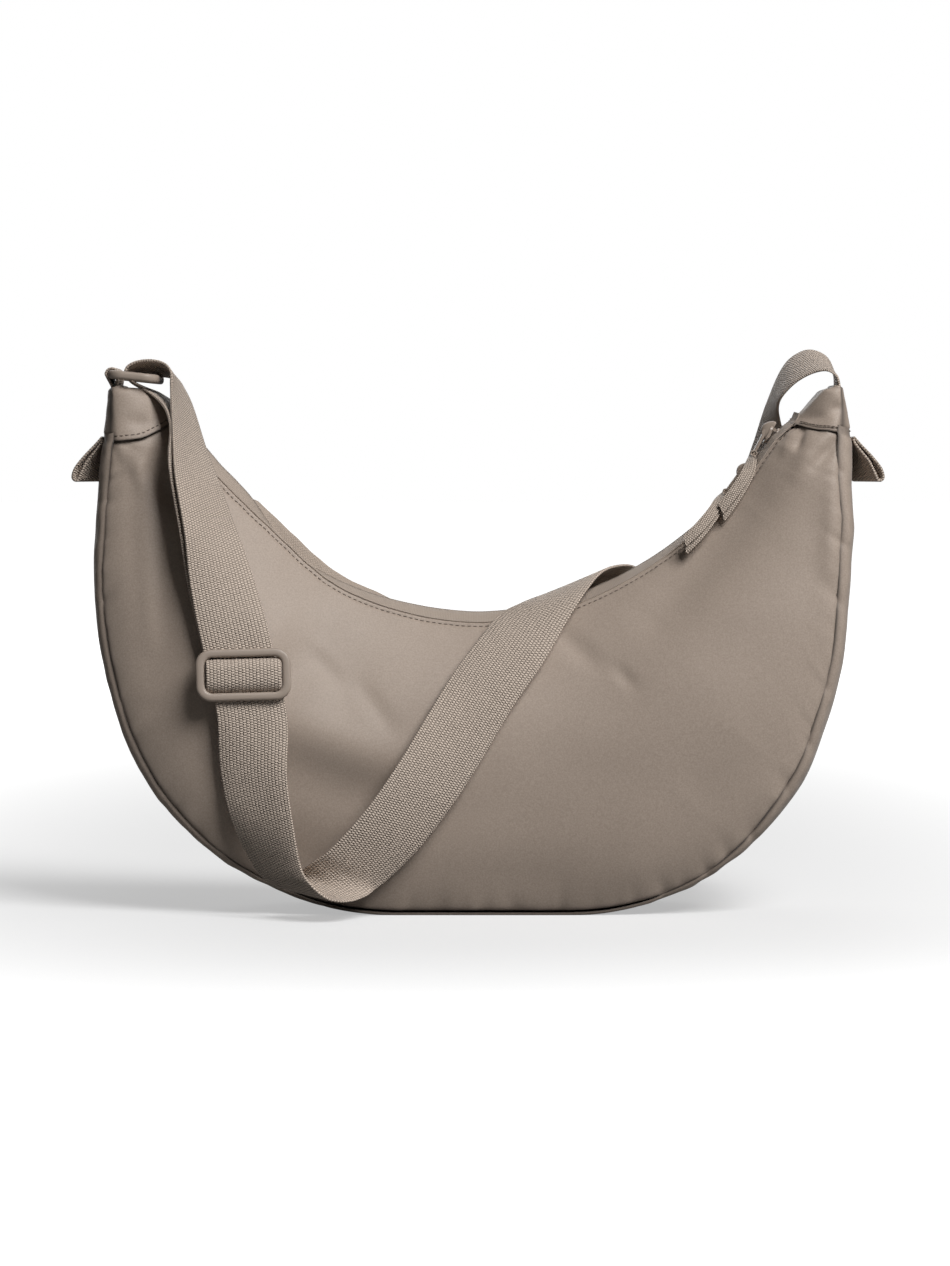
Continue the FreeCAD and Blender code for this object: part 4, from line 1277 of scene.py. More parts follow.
        def seam_shade(along: float, across: float) -> float:
            """Painted seam shade for shares along and across, strongest by both panel seams and the tip seams.
            """
            crown = crown_share(2.0 * seamwards(across) - 1.0)
            to_end = self.to_tip_seam(self.angle(along), self.fall.tip_reach)
            return min(1.0, max(self.fall.crown_shadow.at(crown), self.fall.tip_shadow.at(to_end)))

        piece = grid("gusset_cloth", self.columns, self.gusset_rows, place, self.gusset_span, seam_shade)
        thicken(piece, self.cloth)
        face_out(piece)
        shade(piece, 60.0)
        hand_over(piece, self.wardrobe.shell, Slot.SHELL, nodes=["gusset"])

    def cap_ring(self, share: float, lift: float, hand: Hand) -> List[Vector]:
        """Half ring of a tip cap from the inner wall round the front to the gusset's middle.

        Args:
            share: How far up the tip, from the seam to its top.
            lift: How far the cap stands off the line of the panels.
            hand: Which tip.

        Returns:
            Points in millimetres.
        """
        form = self.form
        angle = hand * lerp(form.seam_angle, form.tip_angle, share)
        first = form.rim_at(hand * form.seam_angle)
        closing = form.tip_reach - form.tip_top - first
        wall = first + closing * (0.80 * share + 0.20 * smooth(0.86, 1.0, share))
        drop = form.fall_at(angle) * (1.0 - smooth(0.0, 0.6, share))
        spread = lerp(form.mouth_half_width, form.tip_half_depth - self.cap_mouth, smooth(0.1, 1.0, share))
        section = PanelSection(form, angle, (wall + drop, spread), form.seam_at(angle))
        ease = 1.0 - smooth(0.0, 1.0, share)
        points = []
        for index in range(self.wall_points):
            across = index / self.wall_points
            spot = form.place(angle, wall + drop * across ** 2 - lift, -spread * across)
            points.append(self.bent(spot, angle, 0.0, ease))
        for index in range(self.panel_points):
            down = index / self.panel_points
            distance = section.length * down
            spot = section.point(distance, 0.0, Side.FRONT)
            dent = self.cap_seam.at(section.length - distance)
            dent += sum(hollow.at(spot.x, spot.z) for hollow in CAP_DENTS)
            points.append(self.bent(section.point(distance, lift - dent, Side.FRONT), angle, down, ease))
        for index in range(self.gusset_points):
            across = index / (2 * (self.gusset_points - 1))
            points.append(self.gusset_point(angle, across) + Vector((hand * lift, 0.0, 0.0)))
        return points

    def cap(self, name: str, hand: Hand) -> None:
        """Build one tip cap as a soft closed tube that ends round the webbing."""
        rings = []
        for index in range(self.cap_rings + 1):
            share = index / self.cap_rings
            half = self.cap_ring(share, self.cap_lift - self.cap_settle * smooth(0.1, 0.5, share), hand)
            rings.append(half + mirrored(half[1:-1]))
        centre = sum(rings[0], Vector()) / len(rings[0])
        rings.insert(0, [point.lerp(centre, 0.05) for point in rings[0]])
        top = rings[-1]
        heart = sum(top, Vector()) / len(top)
        for shrink, rise in CAP_CLOSING:
            ring = []
            for point in top:
                pulled = point.lerp(Vector((heart.x + hand * 1.2, point.y, heart.z)), shrink * 0.9)
                pulled.y *= 1.0 - 0.25 * shrink ** 2
                pulled.z += rise
                ring.append(pulled)
            rings.append(ring)
        for _ in range(2):
            rings = [soften(ring) for ring in rings]
        piece = tube(name + "_cap", rings)
        # Painted seam shade along the cap's gusset seams and at its tip seam.
        store_seam_shade(piece, self.cap_seam_shade(len(rings), len(rings[0])))
        subdivide(piece, 1)
        shade(piece, 55.0)
        hand_over(piece, self.wardrobe.shell, Slot.SHELL,
                  nodes=[name + "_front", name + "_back", name + "_gusset"])

    def cap_seam_shade(self, rings: int, count: int) -> List[float]:
        """Painted seam shade for each point of a tip cap, from its number of rings and of points in a ring."""
        seam = self.wall_points + self.panel_points
        along_gusset = {seam - 1: 0.3, seam: 0.9, seam + 1: 0.35}
        along_tip = {0: 0.9, 1: 0.9, 2: 0.15}
        return [max(along_gusset.get(min(turn, count - turn), 0.0), along_tip.get(index, 0.0))
                for index in range(rings) for turn in range(count)]

    def lining(self) -> None:
        """Build the linings and the slip pocket inside."""
        inset = self.cloth + self.lining_gap

        def inner_angle(along: float) -> float:
            """Angle for a share along a lining, which ends a little before the panel."""
            return self.angle(0.02 + 0.96 * along)

        def panel_place(side: Side) -> Placing:
            """Placing of the front or the back lining."""

            def place(along: float, across: float) -> Vector:
                """Point of the lining for shares along and across."""
                section = PanelSection.cloth(self.form, inner_angle(along))
                distance = lerp(4.0, section.length - 6.0, across)
                return section.point(distance, -inset - self.lining_set, side)

            return place

        def gusset_place(along: float, across: float) -> Vector:
            """Point of the gusset's lining for shares along and across."""
            angle = inner_angle(along)
            reach, depth = self.form.seam_at(angle)
            side = (2.0 * across - 1.0) * (depth - self.gusset_lining_margin)
            return self.form.place(angle, reach - inset - self.gusset_lining_set, side)

        def pocket_place(along: float, across: float) -> Vector:
            """Point of the slip pocket for shares along and across."""
            section = PanelSection.cloth(self.form, lerp(-self.pocket_turn, self.pocket_turn, along))
            return section.point(lerp(*self.pocket_rows, across), -inset - self.pocket_set, Side.BACK)

        for node, columns, rows, place, span in (
                ("front_lining", 90, 24, panel_place(Side.FRONT), (480.0, 160.0)),
                ("back_lining", 90, 24, panel_place(Side.BACK), (480.0, 160.0)),
                ("gusset_lining", 120, 10, gusset_place, (740.0, 76.0)),
                ("slip_pocket", 40, 20, pocket_place, (140.0, 95.0))):
            piece = grid(node + "_cloth", columns, rows, place, span)
            thicken(piece, self.lining_cloth)
            shade(piece)
            hand_over(piece, self.wardrobe.lining, Slot.LINING, nodes=[node])

    def sew(self, name: str, line: Callable[[float], Vector], length: float) -> None:
        """Lay a row of stitches along a line given by shares of its length."""
        count = int(length / self.stitch_pitch)
        places = []
        for index in range(count):
            share = (index + 0.5) / count
            here, ahead = line(share), line(min(1.0, share + 0.002))
            turn = (ahead - here).normalized().to_track_quat("X", "Z").to_matrix().to_4x4()
            places.append(Matrix.Translation(here * MILLIMETRE) @ turn)
        size = Matrix.Diagonal((self.stitch_length, self.stitch_width, self.stitch_width, 1.0))
        piece = copies(name, bead(size @ Matrix.Rotation(math.pi / 2, 4, "Y")), places)
        shade(piece, 80.0)
        hand_over(piece, self.wardrobe.thread, Slot.SHELL)

    def stitches(self) -> None:
        """Sew the rows along both rims and above both tip seams."""
        for name, cut in (("front_rim_stitches", FRONT_CUT), ("back_rim_stitches", BACK_CUT)):

            def rim(share: float, cut: PanelCut = cut) -> Vector:
                """Point of a rim's stitch line at a share of its length."""
                section = PanelSection.cloth(self.form, self.angle(0.012 + 0.976 * share))
                return self.cloth_point(section, self.stitch_line, cut, self.stitch_rise)

            self.sew(name, rim, self.rim_length)
        for name, hand, lift in (("right_tip_stitches", Hand.RIGHT, 1.5),
                                 ("left_tip_stitches", Hand.LEFT, 0.75)):
            half = self.cap_ring(0.11, lift, hand)[self.wall_points + 3:-1]
            path = half + mirrored(half)
            for _ in range(2):
                path = path[:1] + soften(path)[1:-1] + path[-1:]

            def seam(share: float, path: Sequence[Vector] = path) -> Vector:
                """Point of a tip seam's stitch line at a share of its length."""
                spot = share * (len(path) - 1)
                index = min(int(spot), len(path) - 2)
                return path[index].lerp(path[index + 1], spot - index)

            self.sew(name, seam, self.tip_seam_length)


# One quarter of webbing's section: shares of its half width and of its half thickness.
SELVEDGE = [(-1.0, 0.0), (-0.985, 0.75), (-0.95, 1.0), (-0.5, 1.0), (0.0, 1.0)]


@dataclass
class WebbingBand:
    """A length of webbing through pairs of edge points."""

    width: float = 38.0
    thickness: float = 1.5
    steps: int = 7

    def __post_init__(self) -> None:
        """Work out the section with its rounded selvedges and the way round it."""
        half = self.width / 2
        top = SELVEDGE + [(-across, level) for across, level in reversed(SELVEDGE[:-1])]
        whole = top + [(across, -level) for across, level in reversed(top[1:-1])]
        self.profile = [(across * half, level * self.thickness / 2) for across, level in whole]
        self.perimeter = [across + half if level >= 0 else 3 * half - across
                          for across, level in self.profile]
        self.perimeter.append(4 * half)

    def refine(self, edges: Sequence[Edge]) -> List[Edge]:
        """Round the run between edge pairs with smooth curves through them."""
        fine = []
        last = len(edges) - 1
        for index in range(last):
            for step in range(self.steps):
                share = step / self.steps
                fine.append(tuple(self.curve(edges, index, end, share) for end in (0, 1)))
        fine.append(edges[last])
        return fine

    @staticmethod
    def curve(edges: Sequence[Edge], index: int, end: int, share: float) -> Vector:
        """Point of a smooth curve between two edge points, at a share of the way."""
        last = len(edges) - 1
        before, here = edges[max(index - 1, 0)][end], edges[index][end]
        ahead, after = edges[index + 1][end], edges[min(index + 2, last)][end]
        gap = max((ahead - here).length, 1e-6)
        leave = (ahead - before) / max((ahead - here).length + (here - before).length, 1e-6) * gap
        arrive = (after - here) / max((after - ahead).length + gap, 1e-6) * gap
        square, cube = share * share, share ** 3
        return (here * (2 * cube - 3 * square + 1) + leave * (cube - 2 * square + share)
                + ahead * (3 * square - 2 * cube) + arrive * (cube - square))

    def rings(self, edges: Sequence[Edge]) -> Tuple[List[List[Vector]], List[float]]:
        """Cross-sections along the run, and the length up to each."""
        centres = [middle(pair) for pair in edges]
        rings, lengths, total = [], [], 0.0
        for index, (first, second) in enumerate(edges):
            ahead = centres[min(index + 1, len(edges) - 1)]
            behind = centres[max(index - 1, 0)]
            across = (second - first).normalized()
            normal = (ahead - behind).cross(across).normalized()
            rings.append([centres[index] + across * x + normal * y for x, y in self.profile])
            if index:
                total += (centres[index] - centres[index - 1]).length
            lengths.append(total)
        return rings, lengths

    def make(self, name: str, rings: Sequence[Sequence[Vector]], lengths: Sequence[float]) -> Piece:
        """Skin cross-sections into webbing laid flat for its weave."""

        def flat(ring: int, turn: int) -> Pair:
            """Place on the flat webbing for a ring and a point."""
            return self.perimeter[turn], lengths[ring]

        piece = tube(name, rings, flat)
        shade(piece, 50.0)
        return piece

    def lay(self, name: str, edges: Sequence[Edge]) -> Piece:
        """Make a whole length of webbing through pairs of edge points."""
        return self.make(name, *self.rings(self.refine(edges)))


# Rows of the strap's two edges: shares of the half width, of the height and of the swing off the cloth.
FRONT_DROP: List[Row] = [
    (-0.805, 1.010, 0.72, -0.800, 1.018, -0.86),
    (-0.805, 0.987, 0.68, -0.776, 0.997, -0.66),
    (-0.795, 0.882, 1.00, -0.723, 0.890, 0.24),
    (-0.790, 0.838, 1.00, -0.681, 0.817, 0.38),
    (-0.764, 0.723, 0.96, -0.631, 0.730, 0.42),
    (-0.750, 0.620, 0.62, -0.573, 0.618, 0.50),
    (-0.724, 0.535, 0.48, -0.543, 0.538, 0.62),
    (-0.678, 0.385, 0.46, -0.497, 0.388, 0.38),
    (-0.667, 0.280, 0.26, -0.498, 0.280, 0.62),
    (-0.645, 0.197, 0.26, -0.483, 0.202, 0.80),
    (-0.590, 0.107, 0.20, -0.460, 0.107, 1.10),
]
FRONT_LOW: List[Row] = [
    (-0.557, 0.076, 0.35, -0.431, 0.074, 1.33),
    (-0.524, 0.062, 0.48, -0.388, 0.048, 1.37),
    (-0.490, 0.063, 0.42, -0.348, 0.041, 1.20),
    (-0.464, 0.082, 0.25, -0.305, 0.044, 0.70),
    (-0.433, 0.110, 0.46, -0.267, 0.056, 0.26),
    (-0.390, 0.136, 0.58, -0.229, 0.073, 0.14),
    (-0.290, 0.215, 0.58, -0.148, 0.135, 0.13),
    (-0.195, 0.311, 0.46, -0.045, 0.239, 0.13),
    (-0.064, 0.464, 0.28, 0.086, 0.394, 0.20),
    (0.008, 0.531, 0.32, 0.167, 0.478, 0.26),
    (0.062, 0.570, 0.30, 0.225, 0.557, 0.28),
    (0.112, 0.590, 0.34, 0.276, 0.612, 0.34),
    (0.168, 0.604, 0.02, 0.329, 0.652, 0.18),
    (0.230, 0.610, -0.60, 0.390, 0.664, -0.36),
]
BACK_RUN: List[Row] = [
    (0.286, 0.585, 0.34, 0.443, 0.654, 0.30),
    (0.371, 0.526, 0.24, 0.505, 0.612, 0.24),
    (0.467, 0.450, 0.22, 0.605, 0.533, 0.22),
    (0.514, 0.360, 0.22, 0.676, 0.415, 0.26),
    (0.557, 0.291, 0.26, 0.729, 0.329, 0.36),
    (0.600, 0.242, 0.45, 0.776, 0.266, 0.60),
    (0.633, 0.218, 0.75, 0.814, 0.228, 0.90),
    (0.657, 0.228, 1.02, 0.838, 0.221, 1.15),
    (0.667, 0.263, 1.08, 0.848, 0.249, 1.22),
    (0.671, 0.329, 0.95, 0.852, 0.318, 1.12),
    (0.676, 0.450, 0.80, 0.852, 0.450, 0.84),
    (0.690, 0.588, 0.86, 0.848, 0.595, 0.74),
    (0.714, 0.727, 1.10, 0.843, 0.744, 0.46),
    (0.743, 0.830, 1.34, 0.829, 0.848, 0.34),
]
TIP_ARCH: List[Row] = [
    (0.764, 0.913, -2.38, 0.808, 0.936, -1.24),
    (0.790, 0.986, -1.90, 0.803, 0.980, -0.48),
    (0.833, 1.058, -1.52, 0.833, 1.010, -0.05),
    (0.886, 1.083, -1.25, 0.876, 1.031, 0.25),
    (0.933, 1.070, -1.00, 0.919, 1.040, 0.52),
    (0.955, 1.035, -0.84, 0.945, 1.030, 0.72),
    (0.957, 1.010, -0.79, 0.953, 1.010, 0.79),
    (0.957, 0.985, -0.79, 0.955, 0.985, 0.79),
]
STRAP_RETURN: List[Row] = [
    (-0.808, 0.962, 0.72, -0.806, 0.976, -0.84),
    (-0.800, 0.930, 0.90, -0.764, 0.944, -0.40),
    (-0.806, 0.880, 0.84, -0.736, 0.885, 0.13),
    (-0.801, 0.836, 0.84, -0.692, 0.814, 0.22),
    (-0.775, 0.720, 0.80, -0.642, 0.727, 0.27),
    (-0.757, 0.620, 0.46, -0.580, 0.618, 0.34),
    (-0.727, 0.535, 0.32, -0.546, 0.538, 0.46),
    (-0.706, 0.464, 0.30, -0.525, 0.464, 0.34),
]
# Loop of the strap through its ring, along and up from the ring's centre, as shares of the ring's height.
RING_LOOP = [
    (0.770, 0.050), (0.640, 0.140), (0.400, 0.190), (0.090, 0.190), (-0.133, 0.135),
    (-0.196, 0.050), (-0.088, -0.105), (0.140, -0.218), (0.386, -0.295),
]
# Fold of a side tab, along and up from its root, as shares of its reach.
SIDE_TAB = [
    (0.0, 0.0), (0.17, -0.24), (0.37, -0.62), (0.54, -1.00), (0.62, -1.24), (0.61, -1.36), (0.53, -1.42),
    (0.44, -1.38), (0.36, -1.20), (0.22, -0.80), (0.09, -0.42), (0.01, -0.20), (-0.02, -0.06),
]


@dataclass
class Strap:
    """The shoulder strap, its ring and adjuster, and the webbing tabs."""

    form: BagForm
    wardrobe: Wardrobe
    width: float = 38.0
    swing: float = 24.0
    frame_length: float = 52.0
    frame_height: float = 28.5
    frame_rail: float = 4.5
    frame_side: float = 5.0
    frame_corner: float = 8.5
    frame_thickness: float = 4.2
    frame_squareness: float = 3.2
    frame_back: float = 1.0
    ring_thickness: float = 4.8
    bar_height: float = 4.4
    bar_thickness: float = 2.0
    ring_inset: float = 19.0
    ring_rise: float = 7.96
    ring_tilt: float = 6.0
    loop_roll: float = 0.28
    tab_width: float = 30.0
    tab_reach: float = 17.0
    tab_lift: float = 2.5
    tab_turn: float = 25.0
    tab_thickness: float = 1.4
    tab_sewn: Pair = (6.0, 14.0)
    bar_edge: float = 0.7
    wrap_rise: float = 4.4
    wrap_seat: float = 0.7
    wrap_play: float = 1.2
    wrap_steps: int = 6
    band: WebbingBand = field(default_factory=WebbingBand)

    def build(self) -> None:
        """Build and dress the strap and everything on it."""
        height = self.form.tip_height + self.ring_rise
        self.ring_centre = Vector((self.ring_inset - self.form.half_width, 0.0, height))
        self.run()
        self.adjuster()
        self.ring()
        self.ring_tab()
        self.side_tabs()

    def edge(self, shares: Sequence[float], side: Side) -> Vector:
        """Point on one edge of the strap from its shares."""
        across = shares[0] * self.form.half_width
        height = shares[1] * self.form.tip_height
        depth = 0.0 if side is Side.AIR else self.form.depth_at(across, height)
        return Vector((across, (side.value or -1) * (depth + shares[2] * self.swing), height))

    def pairs(self, rows: Sequence[Row], side: Side) -> List[Edge]:
        """Edge points of rows, kept as far apart as the strap is wide."""
        found = []
        for row in rows:
            first, second = self.edge(row[:3], side), self.edge(row[3:], side)
            found.append(pair_at((first + second) / 2, (second - first).normalized() * (self.width / 2)))
        return found

    def run(self) -> None:
        """Build the strap from its sewn return through the ring, down the front and over to the right tip."""
        loop = [self.ring_centre + Vector((along, 0.0, up)) * self.frame_height for along, up in RING_LOOP]
        upper = list(reversed(self.pairs(STRAP_RETURN, Side.FRONT)))
        for index, point in reversed(list(enumerate(loop))):
            roll = self.loop_roll * math.sin(math.pi * min(1.0, (index + 1) / 6))
            half = (ACROSS - UP * roll).normalized() * (self.width / 2)
            upper.append(pair_at(point, half))
        upper += self.pairs(FRONT_DROP, Side.FRONT)
        upper = self.relax(upper, len(STRAP_RETURN) - 2, len(STRAP_RETURN) + len(RING_LOOP) + 3)
        cut = (len(upper) - 1) * self.band.steps
        edges = upper + self.pairs(FRONT_LOW, Side.FRONT) + self.pairs(BACK_RUN, Side.BACK)
        edges += self.pairs(TIP_ARCH, Side.AIR)
        rings, lengths = self.band.rings(self.band.refine(edges))
        top = self.band.make("strap_upper", rings[:cut + 1], lengths[:cut + 1])
        hand_over(top, self.wardrobe.webbing, Slot.WEBBING, "",
                  ["strap_return", "strap_ring_loop", "strap_front_drop"])
        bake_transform(top)
        low = self.band.make("strap_lower", rings[cut:], lengths[cut:])
        hand_over(low, self.wardrobe.webbing, Slot.WEBBING, "bag",
                  ["strap_front_fold", "strap_front_rise", "strap_rim_crest", "strap_back_drop",
                   "strap_back_fold", "strap_back_rise", "strap_tip_arch"])

    def relax(self, edges: List[Edge], first: int, last: int) -> List[Edge]:
        """Ease the turn of the webbing between two rows, its middle a little and its edges more."""
        for _ in range(3):
            eased = list(edges)
            for index in range(first, last):
                near = edges[index - 1:index + 2]
                middles = [middle(pair) for pair in near]
                spans = [(pair[1] - pair[0]).normalized() for pair in near]
                centre = middles[1] * 0.84 + (middles[0] + middles[2]) * 0.08
                half = (spans[1] * 0.4 + (spans[0] + spans[2]) * 0.3).normalized() * (self.width / 2)
                eased[index] = pair_at(centre, half)
            edges = eased
        return edges

    def seat(self) -> Matrix:
        """Place of the adjuster: X across the strand, Z up it and -Y out of it."""
        upper, lower = self.pairs(FRONT_DROP[6:8], Side.FRONT)
        middles = [middle(upper), middle(lower)]
        x_axis = ((upper[1] - upper[0]) + (lower[1] - lower[0])).normalized()
        y_axis = (middles[0] - middles[1]).cross(x_axis).normalized()
        return Matrix.Translation(middle(middles)) @ turned(x_axis, y_axis, x_axis.cross(y_axis))

    def buckle(self, name: str, place: Matrix, lift: float, thickness: float) -> Piece:
        """Shape a torus into a rounded rectangular frame.

        Args:
            name: The piece's name.
            place: Where the frame sits, in millimetres.
            lift: How far its middle stands out along -Y.
            thickness: How thick the frame is.

        Returns:
            The frame at the origin.
        """
        deselect()
        bpy.ops.mesh.primitive_torus_add(major_segments=96, minor_segments=20,
                                         major_radius=1.0, minor_radius=0.25)
        piece = bpy.context.object
        piece.name = piece.data.name = name
        for vertex in piece.data.vertices:
            turn = math.atan2(vertex.co.y, vertex.co.x)
            out = math.hypot(vertex.co.x, vertex.co.y) - 1.0
            roll = math.atan2(vertex.co.z, out)
            outer = self.rounded(turn, self.frame_length / 2, self.frame_height / 2, self.frame_corner)
            inner = self.rounded(turn, self.frame_length / 2 - self.frame_side,
                                 self.frame_height / 2 - self.frame_rail, self.frame_corner - self.frame_rail)
            power = self.frame_squareness
            square = (abs(math.cos(roll)) ** power + abs(math.sin(roll)) ** power) ** (-1 / power)
            across, level = math.cos(roll) * square, math.sin(roll) * square
            spot = inner.lerp(outer, (across + 1.0) / 2)
            local = Vector((spot.x, -lift - level * thickness / 2, spot.y))
            vertex.co = (place @ local) * MILLIMETRE
        piece.data.update()
        face_out(piece)
        shade(piece, 60.0)
        return piece

    @staticmethod
    def rounded(turn: float, half_x: float, half_y: float, corner: float) -> Vector:
        """Point of a rounded rectangle, spread evenly enough by a turn."""
        spread = Vector([math.copysign(math.sqrt(abs(aim)), aim) for aim in (math.cos(turn), math.sin(turn))])
        flat = max(abs(spread.x), abs(spread.y))
        spot = Vector((spread.x / flat * half_x, spread.y / flat * half_y))
        core = Vector((max(-half_x + corner, min(half_x - corner, spot.x)),
                       max(-half_y + corner, min(half_y - corner, spot.y))))
        away = spot - core
        if away.length > 1e-9 and abs(away.x) > 1e-9 and abs(away.y) > 1e-9:
            return core + away.normalized() * corner
        return spot

    def adjuster(self) -> None:
        """Build the adjuster: its frame, centre bar and the webbing over the bar."""
        place = self.seat()
        depth = self.frame_back + self.frame_thickness / 2
        piece = self.buckle("adjuster_frame", place, depth, self.frame_thickness)
        size = (self.frame_length - self.frame_side, self.bar_thickness, self.bar_height)
        bar = block("adjuster_bar", size, place @ Matrix.Translation((0.0, -depth, 0.0)), self.bar_edge)
        hand_over(piece, self.wardrobe.buckle, Slot.BUCKLE, "adjuster", ["strap_adjuster"])
        hand_over(bar, self.wardrobe.buckle, Slot.BUCKLE, "adjuster")
        band = WebbingBand(self.frame_length - 2 * self.frame_side - self.wrap_play, self.band.thickness)
        half = (place.to_3x3() @ Vector((1.0, 0.0, 0.0))) * (band.width / 2)
        half_window = self.frame_height / 2 - self.frame_rail - 1.0
        edges = []
        for index in range(self.wrap_steps, -self.wrap_steps - 1, -1):
            share = index / self.wrap_steps
            out = self.frame_back + self.wrap_seat + self.wrap_rise * (1.0 - abs(share) ** 3.4)
            edges.append(pair_at(place @ Vector((0.0, -out, share * half_window)), half))
        wrap = band.lay("adjuster_wrap_webbing", edges)
        hand_over(wrap, self.wardrobe.webbing, Slot.WEBBING, "adjuster", ["adjuster_wrap"])

    def ring(self) -> None:
        """Build the strap ring lying on the left tip."""
        z_axis = heading(-math.radians(self.ring_tilt))
        place = Matrix.Translation(self.ring_centre) @ turned(ACROSS, z_axis.cross(ACROSS), z_axis)
        piece = self.buckle("ring_frame", place, 0.0, self.ring_thickness)
        hand_over(piece, self.wardrobe.buckle, Slot.BUCKLE, "ring", ["strap_ring"])

    def ring_tab(self) -> None:
        """Build the short webbing tab that holds the ring on the left tip."""
        reach = (self.frame_height - self.frame_rail) / 2
        pivot = self.ring_centre - heading(-math.radians(self.ring_tilt)) * reach
        radius = math.hypot(self.frame_rail, self.frame_thickness) / 2 + 0.2
        outer = Vector((-self.form.width_at(self.form.tip_height) + 2.2, 0.0, self.form.tip_height + 1.0))
        inner = outer + Vector((1.7, 0.0, 0.0))
        near, far = self.tab_sewn
        points = [outer - UP * far, outer - UP * near, outer]
        for step in range(9):
            turn = math.pi * (1.0 - step / 8)
            points.append(pivot + heading(turn) * radius)
        points += [inner, inner - UP * near, inner - UP * far]
        edges = [pair_at(point, ACROSS * (self.width / 2)) for point in points]
        piece = WebbingBand(self.width, self.tab_thickness, 4).lay("ring_tab_webbing", edges)
        hand_over(piece, self.wardrobe.webbing, Slot.WEBBING, "bag", ["ring_tab"])

    def side_tabs(self) -> None:
        """Build the folded webbing loop below each tip seam, its near edge swung outwards."""
        foot = self.form.seam_height - 0.3 * self.tab_reach
        root = Vector((self.form.width_at(foot) + 1.0, 0.0, self.form.seam_height + self.tab_lift))
        band = WebbingBand(self.tab_width, self.tab_thickness, 5)
        for name, hand in (("right", Hand.RIGHT), ("left", Hand.LEFT)):
            edges = []
            for along, up in SIDE_TAB:
                turn = math.radians(self.tab_turn) * smooth(0.0, 1.1, -up)
                side = Vector((-math.sin(turn), math.cos(turn), 0.0)) * (self.tab_width / 2)
                spot = root + Vector((along, 0.0, up)) * self.tab_reach
                edges.append(tuple(Vector((hand * point.x, point.y, point.z))
                                   for point in pair_at(spot, side)))
            piece = band.lay(name + "_tab_webbing", edges)
            hand_over(piece, self.wardrobe.webbing, Slot.WEBBING, "bag", [name + "_side_tab"])


# Route of each ribbon: shares along, forwards and down, and the direction across it.
END_RIBBON: List[RibbonRow] = [
    (0.0, 0.0, 0.0, (0, 1, 0)), (0.13, 0.85, 0.3, (-0.6, 0.55, 0.5)), (0.32, 1.34, 0.65, (-0.1, 0.35, 0.9)),
    (0.65, 1.58, 0.9, (0, 0.25, 0.96)), (1.0, 1.66, 1.15, (0, 0.2, 0.98)),
]
LEAD_RIBBON: List[RibbonRow] = [
    (0.0, 0.0, 0.0, (0, 1, 0)), (0.14, 0.90, 0.1, (-0.5, 0.6, 0.5)), (0.34, 1.50, 0.45, (-0.15, 0.4, 0.88)),
    (0.68, 1.82, 0.8, (0, 0.3, 0.95)), (1.0, 1.92, 1.05, (0, 0.25, 0.96)),
]


